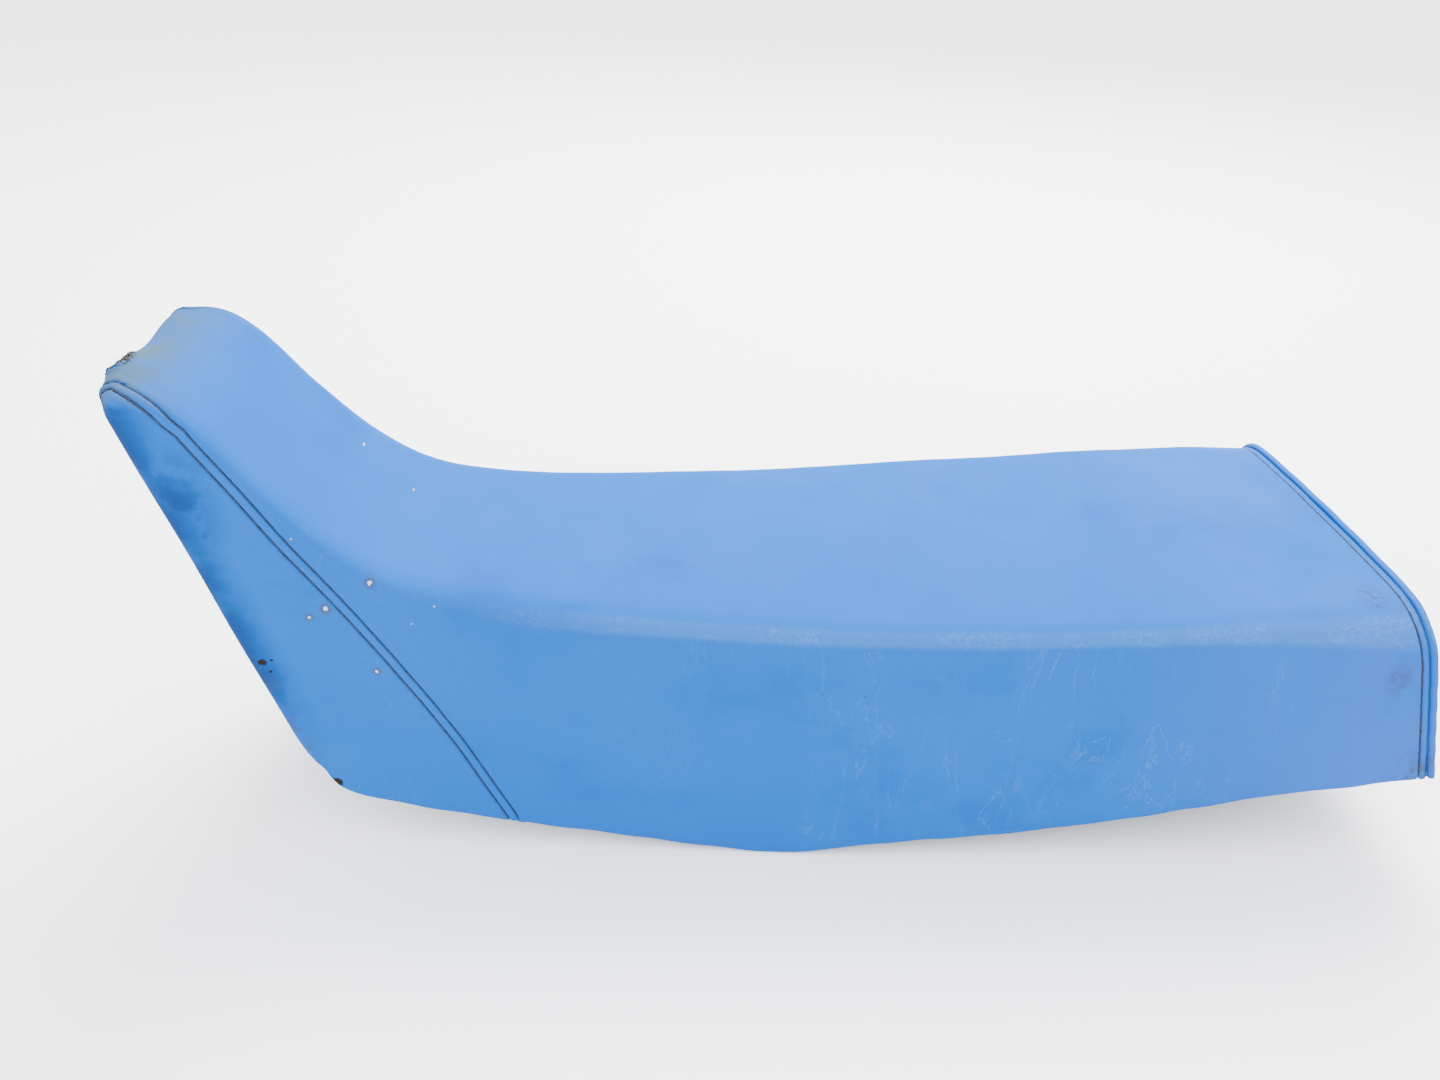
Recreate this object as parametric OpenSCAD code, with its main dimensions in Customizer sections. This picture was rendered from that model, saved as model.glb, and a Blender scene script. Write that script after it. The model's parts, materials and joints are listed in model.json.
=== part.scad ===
// Enduro motorcycle seat: a moulded pan, a foam core and a cover sewn from four vinyl panels.
// X runs from the nose to the rear, Y across the seat and Z up. The rider faces -X, so left is -Y.
// The seat stands on the lowest points of its two skirts. The origin is below the middle of its box.

/* [Seat] */
// Length from the nose lip to the rear panel
seat_l = 720; // [660:5:780]
// Width over the skirts at the rear
seat_w = 262; // [240:1:290]
// Height of the nose above the floor
seat_h = 284; // [260:1:310]

/* [Cover and pan] */
// Thickness of the vinyl cover
skin_t = 1.2; // [0.9:0.1:1.5]
// Wall thickness of the moulded pan
pan_t = 3; // [2.5:0.1:3.5]
// Depth of the foam over the rim of the pan at the nose
lip_foam = 13.8; // [12:0.1:15]
// Distance between the two rows of stitches
stitch_gap = 5.4; // [4:0.2:7]
// Radius of the welt round the rear panel
welt_r = 1.8; // [1.2:0.1:2.2]

/* [Brackets] */
// Radius of the two rear bolt holes
bolt_r = 4.5; // [3.5:0.5:5]
// Plate thickness of the rear brackets
bracket_t = 3; // [2:0.5:4]
// Width of the keyhole slot under the nose
slot_w = 10; // [8:1:12]
// Radius of the rubber buffers
buffer_r = 11; // [8:1:13]

/* [Hidden] */
vinyl = [0.33, 0.61, 0.87];
vinyl_side = [0.29, 0.56, 0.82];
foam_colour = [0.85, 0.78, 0.55];
black = [0.08, 0.08, 0.09];
steel = [0.62, 0.63, 0.65];
thread_colour = [0.07, 0.09, 0.16];

// Master shape in millimetres from the nose, as [x, value] points. Every table is scaled in place().
// Centre line of the top
top_z = [[2, 283], [22, 281], [42, 266], [64, 237], [92, 205], [128, 179], [175, 167], [240, 161.5],
         [330, 159], [430, 159], [530, 161], [620, 163.5], [696, 162.5]];
// Lower edge of the skirts
low_z = [[76, 50], [82, 38], [96, 31], [130, 25], [190, 17], [260, 8], [300, 3.2], [325, 0.6], [350, 0.6],
         [370, 4], [400, 9], [460, 14.5], [530, 23.5], [590, 34.5], [640, 43.5], [690, 50], [722, 54]];
// Half width of the top corner, before it is rounded
top_w = [[2, 66], [60, 69], [110, 75], [190, 84], [270, 91], [350, 98], [430, 105], [510, 109],
         [590, 112], [650, 114.5], [696, 114.5]];
// Half width of the skirts at the lower edge
low_w = [[76, 85], [190, 101], [280, 110], [350, 118], [430, 123], [550, 127], [722, 131]];
// Radius of the shoulder between the side and the top
round_r = [[2, 10], [60, 14], [190, 18], [270, 15], [350, 13], [430, 12], [510, 12], [590, 15],
           [650, 24], [696, 32]];
// Rise of the top between its shoulders
crown = [[2, 3], [100, 4], [190, 4.5], [270, 6.5], [350, 9], [430, 9.5], [510, 9.5], [590, 8.5],
         [650, 6], [696, 4]];
// Stations lean from the nose plane (v = 0) to the rear plane (v = 1)
x_top = [2, 696];
x_low = [76, 722];
x_mid = 360.7;
// Buffers, ribs and brackets sit this far below the deck
seat_gap = 0.2;

// Shares of the half arch that the side and the shoulder take
p_side = 0.4;
p_top = 0.62;
// Height of the rolled lower edge, and of the hem inside it
roll_h = 3.6;
hem_h = 20;
// Seam between the side panel and the main panel, as [v, share of the half arch]
seam = [[0, 0.64], [0.011, 0.585], [0.018, 0.538], [0.0275, 0.475], [0.035, 0.41], [0.051, 0.376],
        [0.065, 0.362], [0.089, 0.341], [0.112, 0.319], [0.132, 0.273], [0.147, 0.21],
        [0.158, 0.141], [0.1635, 0.069], [0.169, 0]];
// Depth of the pan below the top, and inside the side at the top and at the lower edge
deck_depth = [[0, lip_foam], [0.04, 24], [0.07, 38], [0.1, 45], [0.14, 51], [0.2, 60], [0.35, 68],
              [0.6, 72], [1, 74]];
side_depth = [[0, lip_foam], [0.1, 15], [1, 16]];
edge_depth = [[0, lip_foam], [0.022, 8], [0.05, 3.4], [0.08, 3], [1, 3]];
// Share of each station that the outside and the inside of the pan's rear wall sit at
pan_end = 0.985;
pan_end_in = 0.98;

rows = [0, 0.01, 0.022, 0.036, 0.05, 0.065, 0.08, 0.1, 0.12, 0.14, 0.158, 0.169, 0.2, 0.24, 0.29,
        0.34, 0.385, 0.425, 0.47, 0.53, 0.59, 0.66, 0.74, 0.82, 0.89, 0.95, 1];
seam_row = 11;
cols = [0, 0.1, 0.2, 0.3, 0.4, 0.455, 0.51, 0.565, 0.62, 0.72, 0.86, 1];
gusset_cols = [0, 0.2, 0.4, 0.6, 0.8, 1];
lip_angles = [180, 135, 90, 45];
lip_r = (lip_foam + pan_t + skin_t) / 2;

function mix(a, b, t) = a + (b - a) * t;
function unit(a) = a / norm(a);

// Smooth curve through a table of [x, value] points
function span(t, x, i = 0) = i < len(t) - 2 && x >= t[i + 1][0] ? span(t, x, i + 1) : i;
function slope(t, k) =
    let (a = max(k - 1, 0), b = min(k + 1, len(t) - 1))
    (t[b][1] - t[a][1]) / (t[b][0] - t[a][0]);
function curve(t, x) =
    let (i = span(t, x), h = t[i + 1][0] - t[i][0], u = (x - t[i][0]) / h)
    (2 * u^3 - 3 * u^2 + 1) * t[i][1] + (u^3 - 2 * u^2 + u) * h * slope(t, i)
    + (3 * u^2 - 2 * u^3) * t[i + 1][1] + (u^3 - u^2) * h * slope(t, i + 1);

// From the master shape to the seat's own size and origin
floor_z = min([for (v = rows) curve(low_z, mix(x_low[0], x_low[1], v))]);
function place(x, y, z) = [(x - x_mid) * seat_l / 720, y * seat_w / 262, (z - floor_z) * seat_h / 284];

// Station v: foot, direction, height, half widths, radius, crown, lean of the top against the station
function station(v) =
    let (xt = mix(x_top[0], x_top[1], v), xb = mix(x_low[0], x_low[1], v),
         zt = curve(top_z, xt), zb = curve(low_z, xb), h = norm([xt - xb, zt - zb]),
         ex = (xt - xb) / h, ez = (zt - zb) / h, xa = max(xt - 2, 2),
         m = (curve(top_z, xt + 2) - curve(top_z, xa)) / (xt + 2 - xa),
         f = sqrt(1 + m^2) / (ez - m * ex))
    [xb, zb, ex, ez, h, curve(low_w, xb), curve(top_w, xt), curve(round_r, xt), curve(crown, xt),
     1 + (f - 1) * min(1, v / 0.04)];
function lean(v) = station(v)[9];

// Point of a half arch, as [y, height]. The depths are below the top, inside the side at the top and
// inside the side at the lower edge. The side starts at height start.
function half(s, p, dt, ds, db, start, rise) =
    let (h = s[4] - dt, wt = mix(s[5], s[6], h / s[4]) - ds, wb = s[5] - db,
         r = max(s[7] - ds / 2, 5), yb = wt - r, hb = h - rise * (yb / wt)^2,
         sl = -2 * rise * yb / wt^2, k = (wt - wb) / h, hc = (hb + sl * (wb - yb)) / (1 - sl * k),
         yc = wb + k * hc, a = 1 - r / norm([yc - wb, hc]),
         side = [wb + (yc - wb) * a, hc * a], u = (p - p_side) / (p_top - p_side),
         y = yb * (1 - (p - p_top) / (1 - p_top)))
    p <= p_side ? mix([wb + k * start, start], side, p / p_side)
    : p <= p_top ? (1 - u)^2 * side + 2 * u * (1 - u) * [yc, hc] + u^2 * [yb, hb]
    : [y, h - rise * (y / wt)^2];

// From station v and [y, height] to the seat's frame. The offset moves forward from the nose plane.
function at(s, q, side, forward = 0) =
    place(s[0] + s[2] * q[1] - s[3] * forward, side * q[0], s[1] + s[3] * q[1] + s[2] * forward);

// Outer surface of the cover, or a surface at depth d inside it
function skin(v, p, d, side) = let (s = station(v)) at(s, half(s, p, d * s[9], d, d, roll_h, s[8]), side);
// Rounded lip of the nose, from the outer surface (0 degrees) round to the back of the pan (180)
function lip(a, p, d, side, start = roll_h) =
    let (s = station(0), e = lip_r - (lip_r - d) * cos(a))
    at(s, half(s, p, e, e, e, start, s[8]), side, (lip_r - d) * sin(a));
// Surface of the pan at depth d inside its outer face
function pan(v, p, d, side, start = 8) =
    let (s = station(v))
    at(s, half(s, p, lookup(v, deck_depth) + d * s[9], lookup(v, side_depth) + d,
               lookup(v, edge_depth) + d, start, s[8] * max(0, 1 - v / 0.1)), side);
// Point at a depth inside the side line, at height h above the lower edge
function low(v, depth, h, side) =
    let (s = station(v)) at(s, [s[5] + (s[6] - s[5]) * h / s[4] - depth, h], side);
// Full depth of the rolled edge: foam, pan and two layers of cover
function roll_w(v) = lookup(v, edge_depth) + pan_t + skin_t;
function seam_p(v) = lookup(v, seam);

// Rolled lower edge of the cover, from the hem round to the side
function roll(v, side) =
    let (w = roll_w(v), c = 1.05)
    [low(v, w, hem_h, side), low(v, w, roll_h, side), low(v, w - c, c, side), low(v, w / 2, 0, side),
     low(v, c, c, side)];
function roll_in(v, side) =
    let (w = roll_w(v), t = skin_t, c = t + 0.7)
    [low(v, w - t, hem_h, side), low(v, w - t, roll_h, side), low(v, w - c, c, side),
     low(v, w / 2, t, side), low(v, c, c, side)];

function rev(a) = [for (i = [len(a) - 1 : -1 : 0]) a[i]];
function rest(a) = [for (i = [1 : len(a) - 1]) a[i]];

// One row of the main panel, right across the seat
function cross_row(edge_l, edge_r, half_l, half_r) = concat(edge_l, half_l, rest(rev(half_r)), rev(edge_r));
function p_list(p0, list) = [for (u = list) mix(p0, 1, u)];
function main_row(v, d) =
    let (p = p_list(v < rows[seam_row] ? seam_p(v) : 0, cols))
    cross_row(d == 0 ? roll(v, -1) : roll_in(v, -1), d == 0 ? roll(v, 1) : roll_in(v, 1),
              [for (q = p) skin(v, q, d, -1)], [for (q = p) skin(v, q, d, 1)]);
function main_lip(a, d) =
    let (p = p_list(seam_p(0), cols))
    cross_row(d == 0 ? roll(0, -1) : roll_in(0, -1), d == 0 ? roll(0, 1) : roll_in(0, 1),
              [for (q = p) lip(a, q, d, -1)], [for (q = p) lip(a, q, d, 1)]);
function main_hem(d) =
    let (p = p_list(seam_p(0), cols), e = pan_t + skin_t - d)
    cross_row(roll(0, -1), roll(0, 1), [for (q = p) pan(0.036, q, e, -1)], [for (q = p) pan(0.036, q, e, 1)]);

// One row of a side panel, from the hem up to the seam
function side_row(v, d) =
    concat(d == 0 ? roll(v, -1) : roll_in(v, -1), [for (u = gusset_cols) skin(v, u * seam_p(v), d, -1)]);
function side_lip(a, d) =
    concat(d == 0 ? roll(0, -1) : roll_in(0, -1), [for (u = gusset_cols) lip(a, u * seam_p(0), d, -1)]);
function side_hem(d) =
    concat(roll(0, -1), [for (u = gusset_cols) pan(0.036, u * seam_p(0), pan_t + skin_t - d, -1)]);

// A cell of a grid is there unless one of the skipped blocks [i0, i1, j0, j1] holds it
function there(i, j, nr, nc, skip) =
    i >= 0 && j >= 0 && i < nr - 1 && j < nc - 1
    && len([for (s = skip) if (i >= s[0] && i <= s[1] && j >= s[2] && j <= s[3]) 1]) == 0;

// Closed sheet between two grids of points. With end = true, a wall closes it at the last row, and
// the wall's lower edge rises 4 mm to the middle.
module sheet(outer, inner, skip = [], end = false) {
    nr = len(outer);
    nc = len(outer[0]);
    n = nr * nc;
    last = (nr - 1) * nc;
    mid_out = (outer[nr - 1][0] + outer[nr - 1][nc - 1]) / 2 + [0, 0, 4];
    mid_in = (inner[nr - 1][0] + inner[nr - 1][nc - 1]) / 2 + [0, 0, 4];
    points = concat([for (r = outer) for (q = r) q], [for (r = inner) for (q = r) q],
                    end ? [mid_out, mid_in] : []);
    skin_faces = [for (i = [0 : nr - 2]) for (j = [0 : nc - 2]) if (there(i, j, nr, nc, skip))
        let (a = i * nc + j, b = a + 1, c = a + nc + 1, d = a + nc)
        each [[a, b, c], [a, c, d], [a + n, c + n, b + n], [a + n, d + n, c + n]]];
    edges = [for (i = [0 : nr - 2]) for (j = [0 : nc - 2]) if (there(i, j, nr, nc, skip))
        let (a = i * nc + j, b = a + 1, c = a + nc + 1, d = a + nc)
        each [if (!there(i - 1, j, nr, nc, skip)) [a, b],
              if (!there(i, j + 1, nr, nc, skip)) [b, c],
              if (!there(i + 1, j, nr, nc, skip) && !(end && i == nr - 2)) [c, d],
              if (!there(i, j - 1, nr, nc, skip)) [d, a]]];
    edge_faces = [for (e = edges) each [[e[1], e[0], e[0] + n], [e[1], e[0] + n, e[1] + n]]];
    cap = end ? [for (j = [0 : nc - 2]) each [[last + j, last + j + 1, 2 * n],
                                              [last + j + 1 + n, last + j + n, 2 * n + 1]]] : [];
    foot = end ? [[last, 2 * n, 2 * n + 1], [last, 2 * n + 1, last + n],
                  [2 * n, last + nc - 1, last + nc - 1 + n], [2 * n, last + nc - 1 + n, 2 * n + 1]] : [];
    polyhedron(points = points, faces = concat(skin_faces, edge_faces, cap, foot));
}

// Round cord of radius r through path points, each [point, normal, sideways]
module cord(path, r, sides) {
    n = len(path);
    ring = [for (k = [0 : sides - 1]) 360 * k / sides];
    points = [for (q = path) for (a = ring) q[0] + r * cos(a) * q[1] + r * sin(a) * q[2]];
    walls = [for (i = [0 : n - 2]) for (k = [0 : sides - 1])
        let (a = i * sides + k, b = i * sides + (k + 1) % sides)
        each [[a, a + sides, b + sides], [a, b + sides, b]]];
    ends = [[for (k = [0 : sides - 1]) k], [for (k = [sides - 1 : -1 : 0]) (n - 1) * sides + k]];
    polyhedron(points = points, faces = concat(walls, ends));
}

// Stitch row beside the left seam
function seam_point(v) = skin(v, seam_p(v), 0, -1);
function seam_frame(v, off) =
    let (t = unit(seam_point(v + 0.002) - seam_point(max(v - 0.002, 0))),
         d = skin(v, seam_p(v) + 0.01, 0, -1) - skin(v, max(seam_p(v) - 0.01, 0), 0, -1),
         m = unit(cross(d, t)), b = cross(t, m))
    [seam_point(v) - off * b + 0.25 * m, m, b];
module seam_row(off) {
    cord([for (v = [0.004 : 0.009 : 0.167]) seam_frame(v, off)], 0.5, 6);
}

// Point round the rear end at station v, with its outward and rearward directions
n_rear = unit([station(1)[3], 0, -station(1)[2]]);
function end_frame(v, q, r, back) =
    let (side = q < 1 ? -1 : 1, p = q < 1 ? q : 2 - q, a = skin(v, max(p - 0.02, 0), 0, side),
         b = skin(v, min(p + 0.02, 1), 0, side), t = unit(b - a) * (q < 1 ? 1 : -1),
         m = unit(cross(n_rear, t)))
    [skin(v, p, 0, side) + r * m + back * n_rear, m, n_rear];
end_path = [0, 0.13, 0.26, 0.4, 0.45, 0.5, 0.55, 0.62, 0.75, 0.9, 1.1, 1.25, 1.38, 1.45, 1.5, 1.55,
            1.6, 1.74, 1.87, 2];

// Puts a piece under the deck, with X along the deck and Z up to its underside
function deck_point(v) = pan(v, 1, pan_t, 1);
module under_deck(v, y = 0) {
    a = deck_point(v - 0.01);
    b = deck_point(v + 0.01);
    q = deck_point(v);
    translate([q[0], y, q[2]]) rotate([0, -atan2(b[2] - a[2], b[0] - a[0]), 0])
        translate([0, 0, -seat_gap]) children();
}

module plate(x0, x1, y0, y1, z0, z1) {
    translate([x0, y0, z0]) cube([x1 - x0, y1 - y0, z1 - z0]);
}

// Rivet set upwards through a bracket of thickness t, with its dome below
module rivet(t) {
    rotate_extrude($fn = 32)
        polygon([[0, -0.1], [2.4, -0.1], [2.4, -t], [4.6, -t], [4.3, -t - 1], [3, -t - 1.9], [0, -t - 2.2]]);
}

// Moulded pan: an inverted trough with a rear wall and a rim bead, open below and at the nose
module seat_pan() {
    color(black) {
        out = [for (v = rows) let (u = v * pan_end, e = lookup(u, edge_depth))
            cross_row([low(u, e + 2.8, 1.3, -1), low(u, e + 0.6, 1.2, -1), low(u, e - 1.7, roll_h, -1),
                       low(u, e - 1.7, 7.6, -1)],
                      [low(u, e + 2.8, 1.3, 1), low(u, e + 0.6, 1.2, 1), low(u, e - 1.7, roll_h, 1),
                       low(u, e - 1.7, 7.6, 1)],
                      [for (p = cols) pan(u, p, 0, -1)], [for (p = cols) pan(u, p, 0, 1)])];
        inside = [for (v = rows) let (u = v * pan_end_in, e = lookup(u, edge_depth) + pan_t)
            cross_row([for (h = [4 : 7]) low(u, e, h, -1)], [for (h = [4 : 7]) low(u, e, h, 1)],
                      [for (p = cols) pan(u, p, pan_t, -1)], [for (p = cols) pan(u, p, pan_t, 1)])];
        sheet(out, inside, end = true);
    }
}

// Stiffening ribs moulded under the deck
module pan_ribs() {
    color(black) {
        for (y = [-25, 25]) {
            line = [for (i = [13 : 23]) deck_point(rows[i] * pan_end_in)];
            translate([0, y + 1.2, 0]) rotate([90, 0, 0]) linear_extrude(2.4)
                polygon(concat([for (q = line) [q[0], q[2] - 0.3]], [for (q = rev(line)) [q[0], q[2] - 9]]));
        }
        for (v = [0.24, 0.38, 0.56, 0.66, 0.8, 0.93])
            under_deck(v) plate(-1.2, 1.2, -70, 70, -9, 0);
    }
}

// Moulded foam between the pan and the cover, rounded over the nose lip
module foam_core() {
    color(foam_colour) {
        out = concat([for (a = lip_angles) cross_row([], [], [for (p = cols) lip(a, p, skin_t, -1, 8)],
                                                     [for (p = cols) lip(a, p, skin_t, 1, 8)])],
                     [for (v = rows) foam_row(v)]);
        back = concat([for (k = [0 : 3])
                          let (s = station(0), e = lip_foam + pan_t - 0.3 - 0.65 * k, g = 0.3 + 0.2 * k * (3 - k))
                          cross_row([], [], [for (p = cols) at(s, half(s, p, e, e, e, 8 + g, s[8]), -1, g)],
                                    [for (p = cols) at(s, half(s, p, e, e, e, 8 + g, s[8]), 1, g)])],
                      [for (v = rows) let (u = v * pan_end)
                          cross_row([], [], [for (p = cols) pan(u, p, 0, -1)], [for (p = cols) pan(u, p, 0, 1)])]);
        sheet(out, back, end = true);
    }
}
function foam_row(v) =
    let (s = station(v), t = skin_t)
    cross_row([], [], [for (p = cols) at(s, half(s, p, t * s[9], t, t, 8, s[8]), -1)],
              [for (p = cols) at(s, half(s, p, t * s[9], t, t, 8, s[8]), 1)]);

// Main vinyl panel: the top, the shoulders and the skirts behind the seams
module cover_main_panel() {
    nc = 2 * (5 + len(cols)) - 1;
    first = seam_row + len(lip_angles);
    color(vinyl)
        sheet(concat([main_hem(0)], [for (a = lip_angles) main_lip(a, 0)], [for (v = rows) main_row(v, 0)]),
              concat([main_hem(skin_t)], [for (a = lip_angles) main_lip(a, skin_t)],
                     [for (v = rows) main_row(v, skin_t)]),
              [[0, first, 0, 4], [0, first, nc - 6, nc - 2]]);
}

// Side panel of the nose, between the seam, the nose lip and the rolled edge
module side_panel() {
    list = [for (i = [0 : seam_row - 1]) rows[i], 0.166];
    sheet(concat([side_hem(0)], [for (a = lip_angles) side_lip(a, 0)], [for (v = list) side_row(v, 0)]),
          concat([side_hem(skin_t)], [for (a = lip_angles) side_lip(a, skin_t)],
                 [for (v = list) side_row(v, skin_t)]),
          [[0, 0, 0, 5], [0, len(lip_angles) + 1, 0, 4]]);
}
module cover_left_gusset() {
    color(vinyl_side) side_panel();
}
module cover_right_gusset() {
    color(vinyl_side) mirror([0, 1, 0]) side_panel();
}

// Flat rear panel with a hem that turns under the pan's rear wall and up inside it
module cover_rear_panel() {
    s = station(1);
    ky = seat_w / 262;
    kz = seat_h / 284;
    pts = concat([for (p = cols) half(s, p, 0, 0, 0, roll_h, s[8])]);
    foot = place(s[0], 0, s[1]);
    color(vinyl_side)
        translate(foot) rotate([0, -atan2(-s[2] * seat_l / 720, s[3] * kz), 0]) {
            rotate([90, 0, 90]) linear_extrude(skin_t)
                polygon(concat([[-s[5] * ky, 0]], [for (q = pts) [-q[0] * ky, q[1] * kz]],
                               [for (q = rest(rev(pts))) [q[0] * ky, q[1] * kz]], [[s[5] * ky, 0]]));
            plate(-14.6, 0, -116, 116, 0, skin_t);
            plate(-14.6, -14.6 + skin_t, -116, 116, 0, hem_h);
        }
}

// Double topstitching along the two side seams
module seam_threads_left() {
    color(thread_colour) {
        seam_row(stitch_gap / 2);
        seam_row(-stitch_gap / 2);
    }
}
module seam_threads_right() {
    color(thread_colour) mirror([0, 1, 0]) {
        seam_row(stitch_gap / 2);
        seam_row(-stitch_gap / 2);
    }
}
// Topstitching just ahead of the welt
module rear_seam_thread() {
    color(thread_colour) cord([for (q = end_path) end_frame(0.994, q, 0.25, 0)], 0.5, 6);
}
// Covered welt in the seam round the rear panel
module rear_welt() {
    color(vinyl_side) cord([for (q = end_path) end_frame(1, q, welt_r * 0.71, skin_t + welt_r * 0.71)], welt_r, 8);
}

// Staples that hold the hem to the inside of the pan
module cover_staples() {
    color(steel) {
        for (side = [-1, 1]) for (v = [0.05 : 0.06 : 0.96]) {
            q = low(v, roll_w(v) + 0.5, 13, side);
            a = low(v - 0.01, 0, 0, side);
            b = low(v + 0.01, 0, 0, side);
            translate(q) rotate([0, -atan2(b[2] - a[2], b[0] - a[0]), 0]) cube([10, 0.8, 1.2], center = true);
        }
        for (y = [-36, -12, 12, 36]) {
            q = pan(0.024, 1, pan_t + skin_t + 1.2, 1);
            translate([q[0], y, q[2] - 1]) cube([1.2, 10, 0.8], center = true);
        }
        for (y = [-84 : 28 : 84]) {
            q = place(x_low[1], 0, curve(low_z, x_low[1]));
            translate([q[0], y, q[2]]) rotate([0, -13.5, 0]) translate([-15.1, 0, 14]) cube([0.8, 10, 1.2], center = true);
        }
    }
}

// Steel keyhole bracket under the slope of the nose, which drops over a headed stud on the tank
module nose_bracket() {
    color(steel)
        under_deck(0.13) difference() {
            union() {
                plate(-30, 30, -22, 22, -12, -10);
                for (s = [-1, 1]) {
                    plate(-30, 30, s * 21 - 1, s * 21 + 1, -12, 0);
                    plate(-30, 30, s * 29 - 9, s * 29 + 9, -2, 0);
                }
            }
            translate([-12, 0, -20]) cylinder(h = 15, r = slot_w, $fn = 48);
            translate([14, 0, -20]) cylinder(h = 15, r = slot_w / 2, $fn = 48);
            plate(-12, 14, -slot_w / 2, slot_w / 2, -20, -5);
            for (x = [-18, 18]) for (y = [-30, 30])
                translate([x, y, -6]) cylinder(h = 10, r = 2.5, $fn = 32);
        }
}

// Steel hook under the middle of the deck, open forward for the crossbar of the frame
module mid_hook() {
    color(steel)
        under_deck(0.46) difference() {
            union() {
                plate(-30, 20, -18, 18, -2.5, 0);
                plate(17.5, 20, -18, 18, -26, 0);
                plate(-14, 20, -18, 18, -26, -23.5);
            }
            for (y = [-10, 10])
                translate([-24, y, -6]) cylinder(h = 10, r = 2.5, $fn = 32);
        }
}

// Rear bracket: a foot under the deck and a tab down to the side bolt. The two tabs reach the floor.
tab_y = 46;
tab_x = deck_point(0.86)[0];
deck_z = deck_point(0.86)[2] - 0.4;
bolt_z = 22;
module rear_bracket(side) {
    translate([tab_x, side * tab_y, 0]) difference() {
        union() {
            plate(-16, 16, side > 0 ? -26 : -bracket_t, side > 0 ? bracket_t : 26, deck_z - bracket_t, deck_z);
            translate([0, side > 0 ? 0 : -bracket_t, 0]) rotate([90, 0, 0]) mirror([0, 0, 1]) linear_extrude(bracket_t)
                polygon([[-16, deck_z], [16, deck_z], [16, 54], [12, 36], [12, 5], [7, 0], [-7, 0], [-12, 5],
                         [-12, 36], [-16, 54]]);
        }
        translate([0, -20, bolt_z]) rotate([-90, 0, 0]) cylinder(h = 40, r = bolt_r, $fn = 48);
        for (x = [-9, 9])
            translate([x, -side * 15, deck_z - 8]) cylinder(h = 12, r = 2.5, $fn = 32);
    }
}
module rear_bracket_left() {
    color(steel) rear_bracket(-1);
}
module rear_bracket_right() {
    color(steel) rear_bracket(1);
}

// Rivets of the four brackets
module bracket_rivets() {
    color(steel) {
        under_deck(0.13) for (x = [-18, 18]) for (y = [-30, 30]) translate([x, y, 0]) rivet(2);
        under_deck(0.46) for (y = [-10, 10]) translate([-24, y, 0]) rivet(2.5);
        for (s = [-1, 1]) for (x = [-9, 9]) translate([tab_x + x, s * (tab_y - 15), deck_z]) rivet(bracket_t);
    }
}

// Rubber buffers that rest on the rails of the frame
module rubber_buffers() {
    color(black)
        for (v = [0.33, 0.74]) for (y = [-52, 52])
            translate([deck_point(v)[0], y, deck_point(v)[2] - 15]) cylinder(h = 14, r1 = buffer_r - 2, r2 = buffer_r, $fn = 48);
}

seat_pan();
pan_ribs();
foam_core();
cover_main_panel();
cover_left_gusset();
cover_right_gusset();
cover_rear_panel();
rear_welt();
seam_threads_left();
seam_threads_right();
rear_seam_thread();
cover_staples();
nose_bracket();
mid_hook();
rear_bracket_left();
rear_bracket_right();
bracket_rivets();
rubber_buffers();
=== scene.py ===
"""Enduro motorcycle seat: sewn vinyl cover, foam, pan and brackets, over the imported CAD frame.

The cover is one surface of two coordinates. v is the station, from 0 at the slanted plane of the nose
to 1 at the rear plane. p is the share of the half arch, from 0 at the lower edge to 1 at the middle of
the top. side is -1 on the left and 1 on the right, and d is a depth under the cover. Lengths are in
millimetres, and the points that come out are in metres.
"""
import json
import math

import bmesh
import bpy
import numpy as np
from mathutils import Matrix, Vector


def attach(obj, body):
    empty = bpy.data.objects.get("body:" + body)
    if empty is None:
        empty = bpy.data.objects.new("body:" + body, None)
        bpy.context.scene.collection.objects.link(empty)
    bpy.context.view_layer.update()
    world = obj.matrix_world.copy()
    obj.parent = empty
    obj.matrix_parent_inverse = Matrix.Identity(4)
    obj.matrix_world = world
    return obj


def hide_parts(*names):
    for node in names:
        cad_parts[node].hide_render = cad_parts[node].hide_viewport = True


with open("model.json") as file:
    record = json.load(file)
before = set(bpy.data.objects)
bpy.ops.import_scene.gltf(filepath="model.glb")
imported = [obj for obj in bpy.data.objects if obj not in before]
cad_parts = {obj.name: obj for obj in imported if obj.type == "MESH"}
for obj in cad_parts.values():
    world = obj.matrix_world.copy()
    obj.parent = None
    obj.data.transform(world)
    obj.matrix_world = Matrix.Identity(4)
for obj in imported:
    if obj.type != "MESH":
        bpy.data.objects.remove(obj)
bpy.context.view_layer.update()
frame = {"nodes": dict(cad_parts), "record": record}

# ---------------------------------------------------------------- master shape, in millimetres
# [x, value] points, with x from the nose: heights of the top and of the lower edge, half widths at
# the top and at the lower edge, radius between side and top, and crown of the top
TOP_Z = [[2, 283], [22, 281], [42, 266], [64, 237], [92, 205], [128, 179], [175, 167], [240, 161.5],
         [330, 159], [430, 159], [530, 161], [620, 163.5], [696, 162.5]]
LOW_Z = [[76, 50], [82, 38], [96, 31], [130, 25], [190, 17], [260, 8], [300, 3.2], [325, 0.6],
         [350, 0.6], [370, 4], [400, 9], [460, 14.5], [530, 23.5], [590, 34.5], [640, 43.5], [690, 50],
         [722, 54]]
TOP_W = [[2, 66], [60, 69], [110, 75], [190, 84], [270, 91], [350, 98], [430, 105], [510, 109],
         [590, 112], [650, 114.5], [696, 114.5]]
LOW_W = [[76, 85], [190, 101], [280, 110], [350, 118], [430, 123], [550, 127], [722, 131]]
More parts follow.
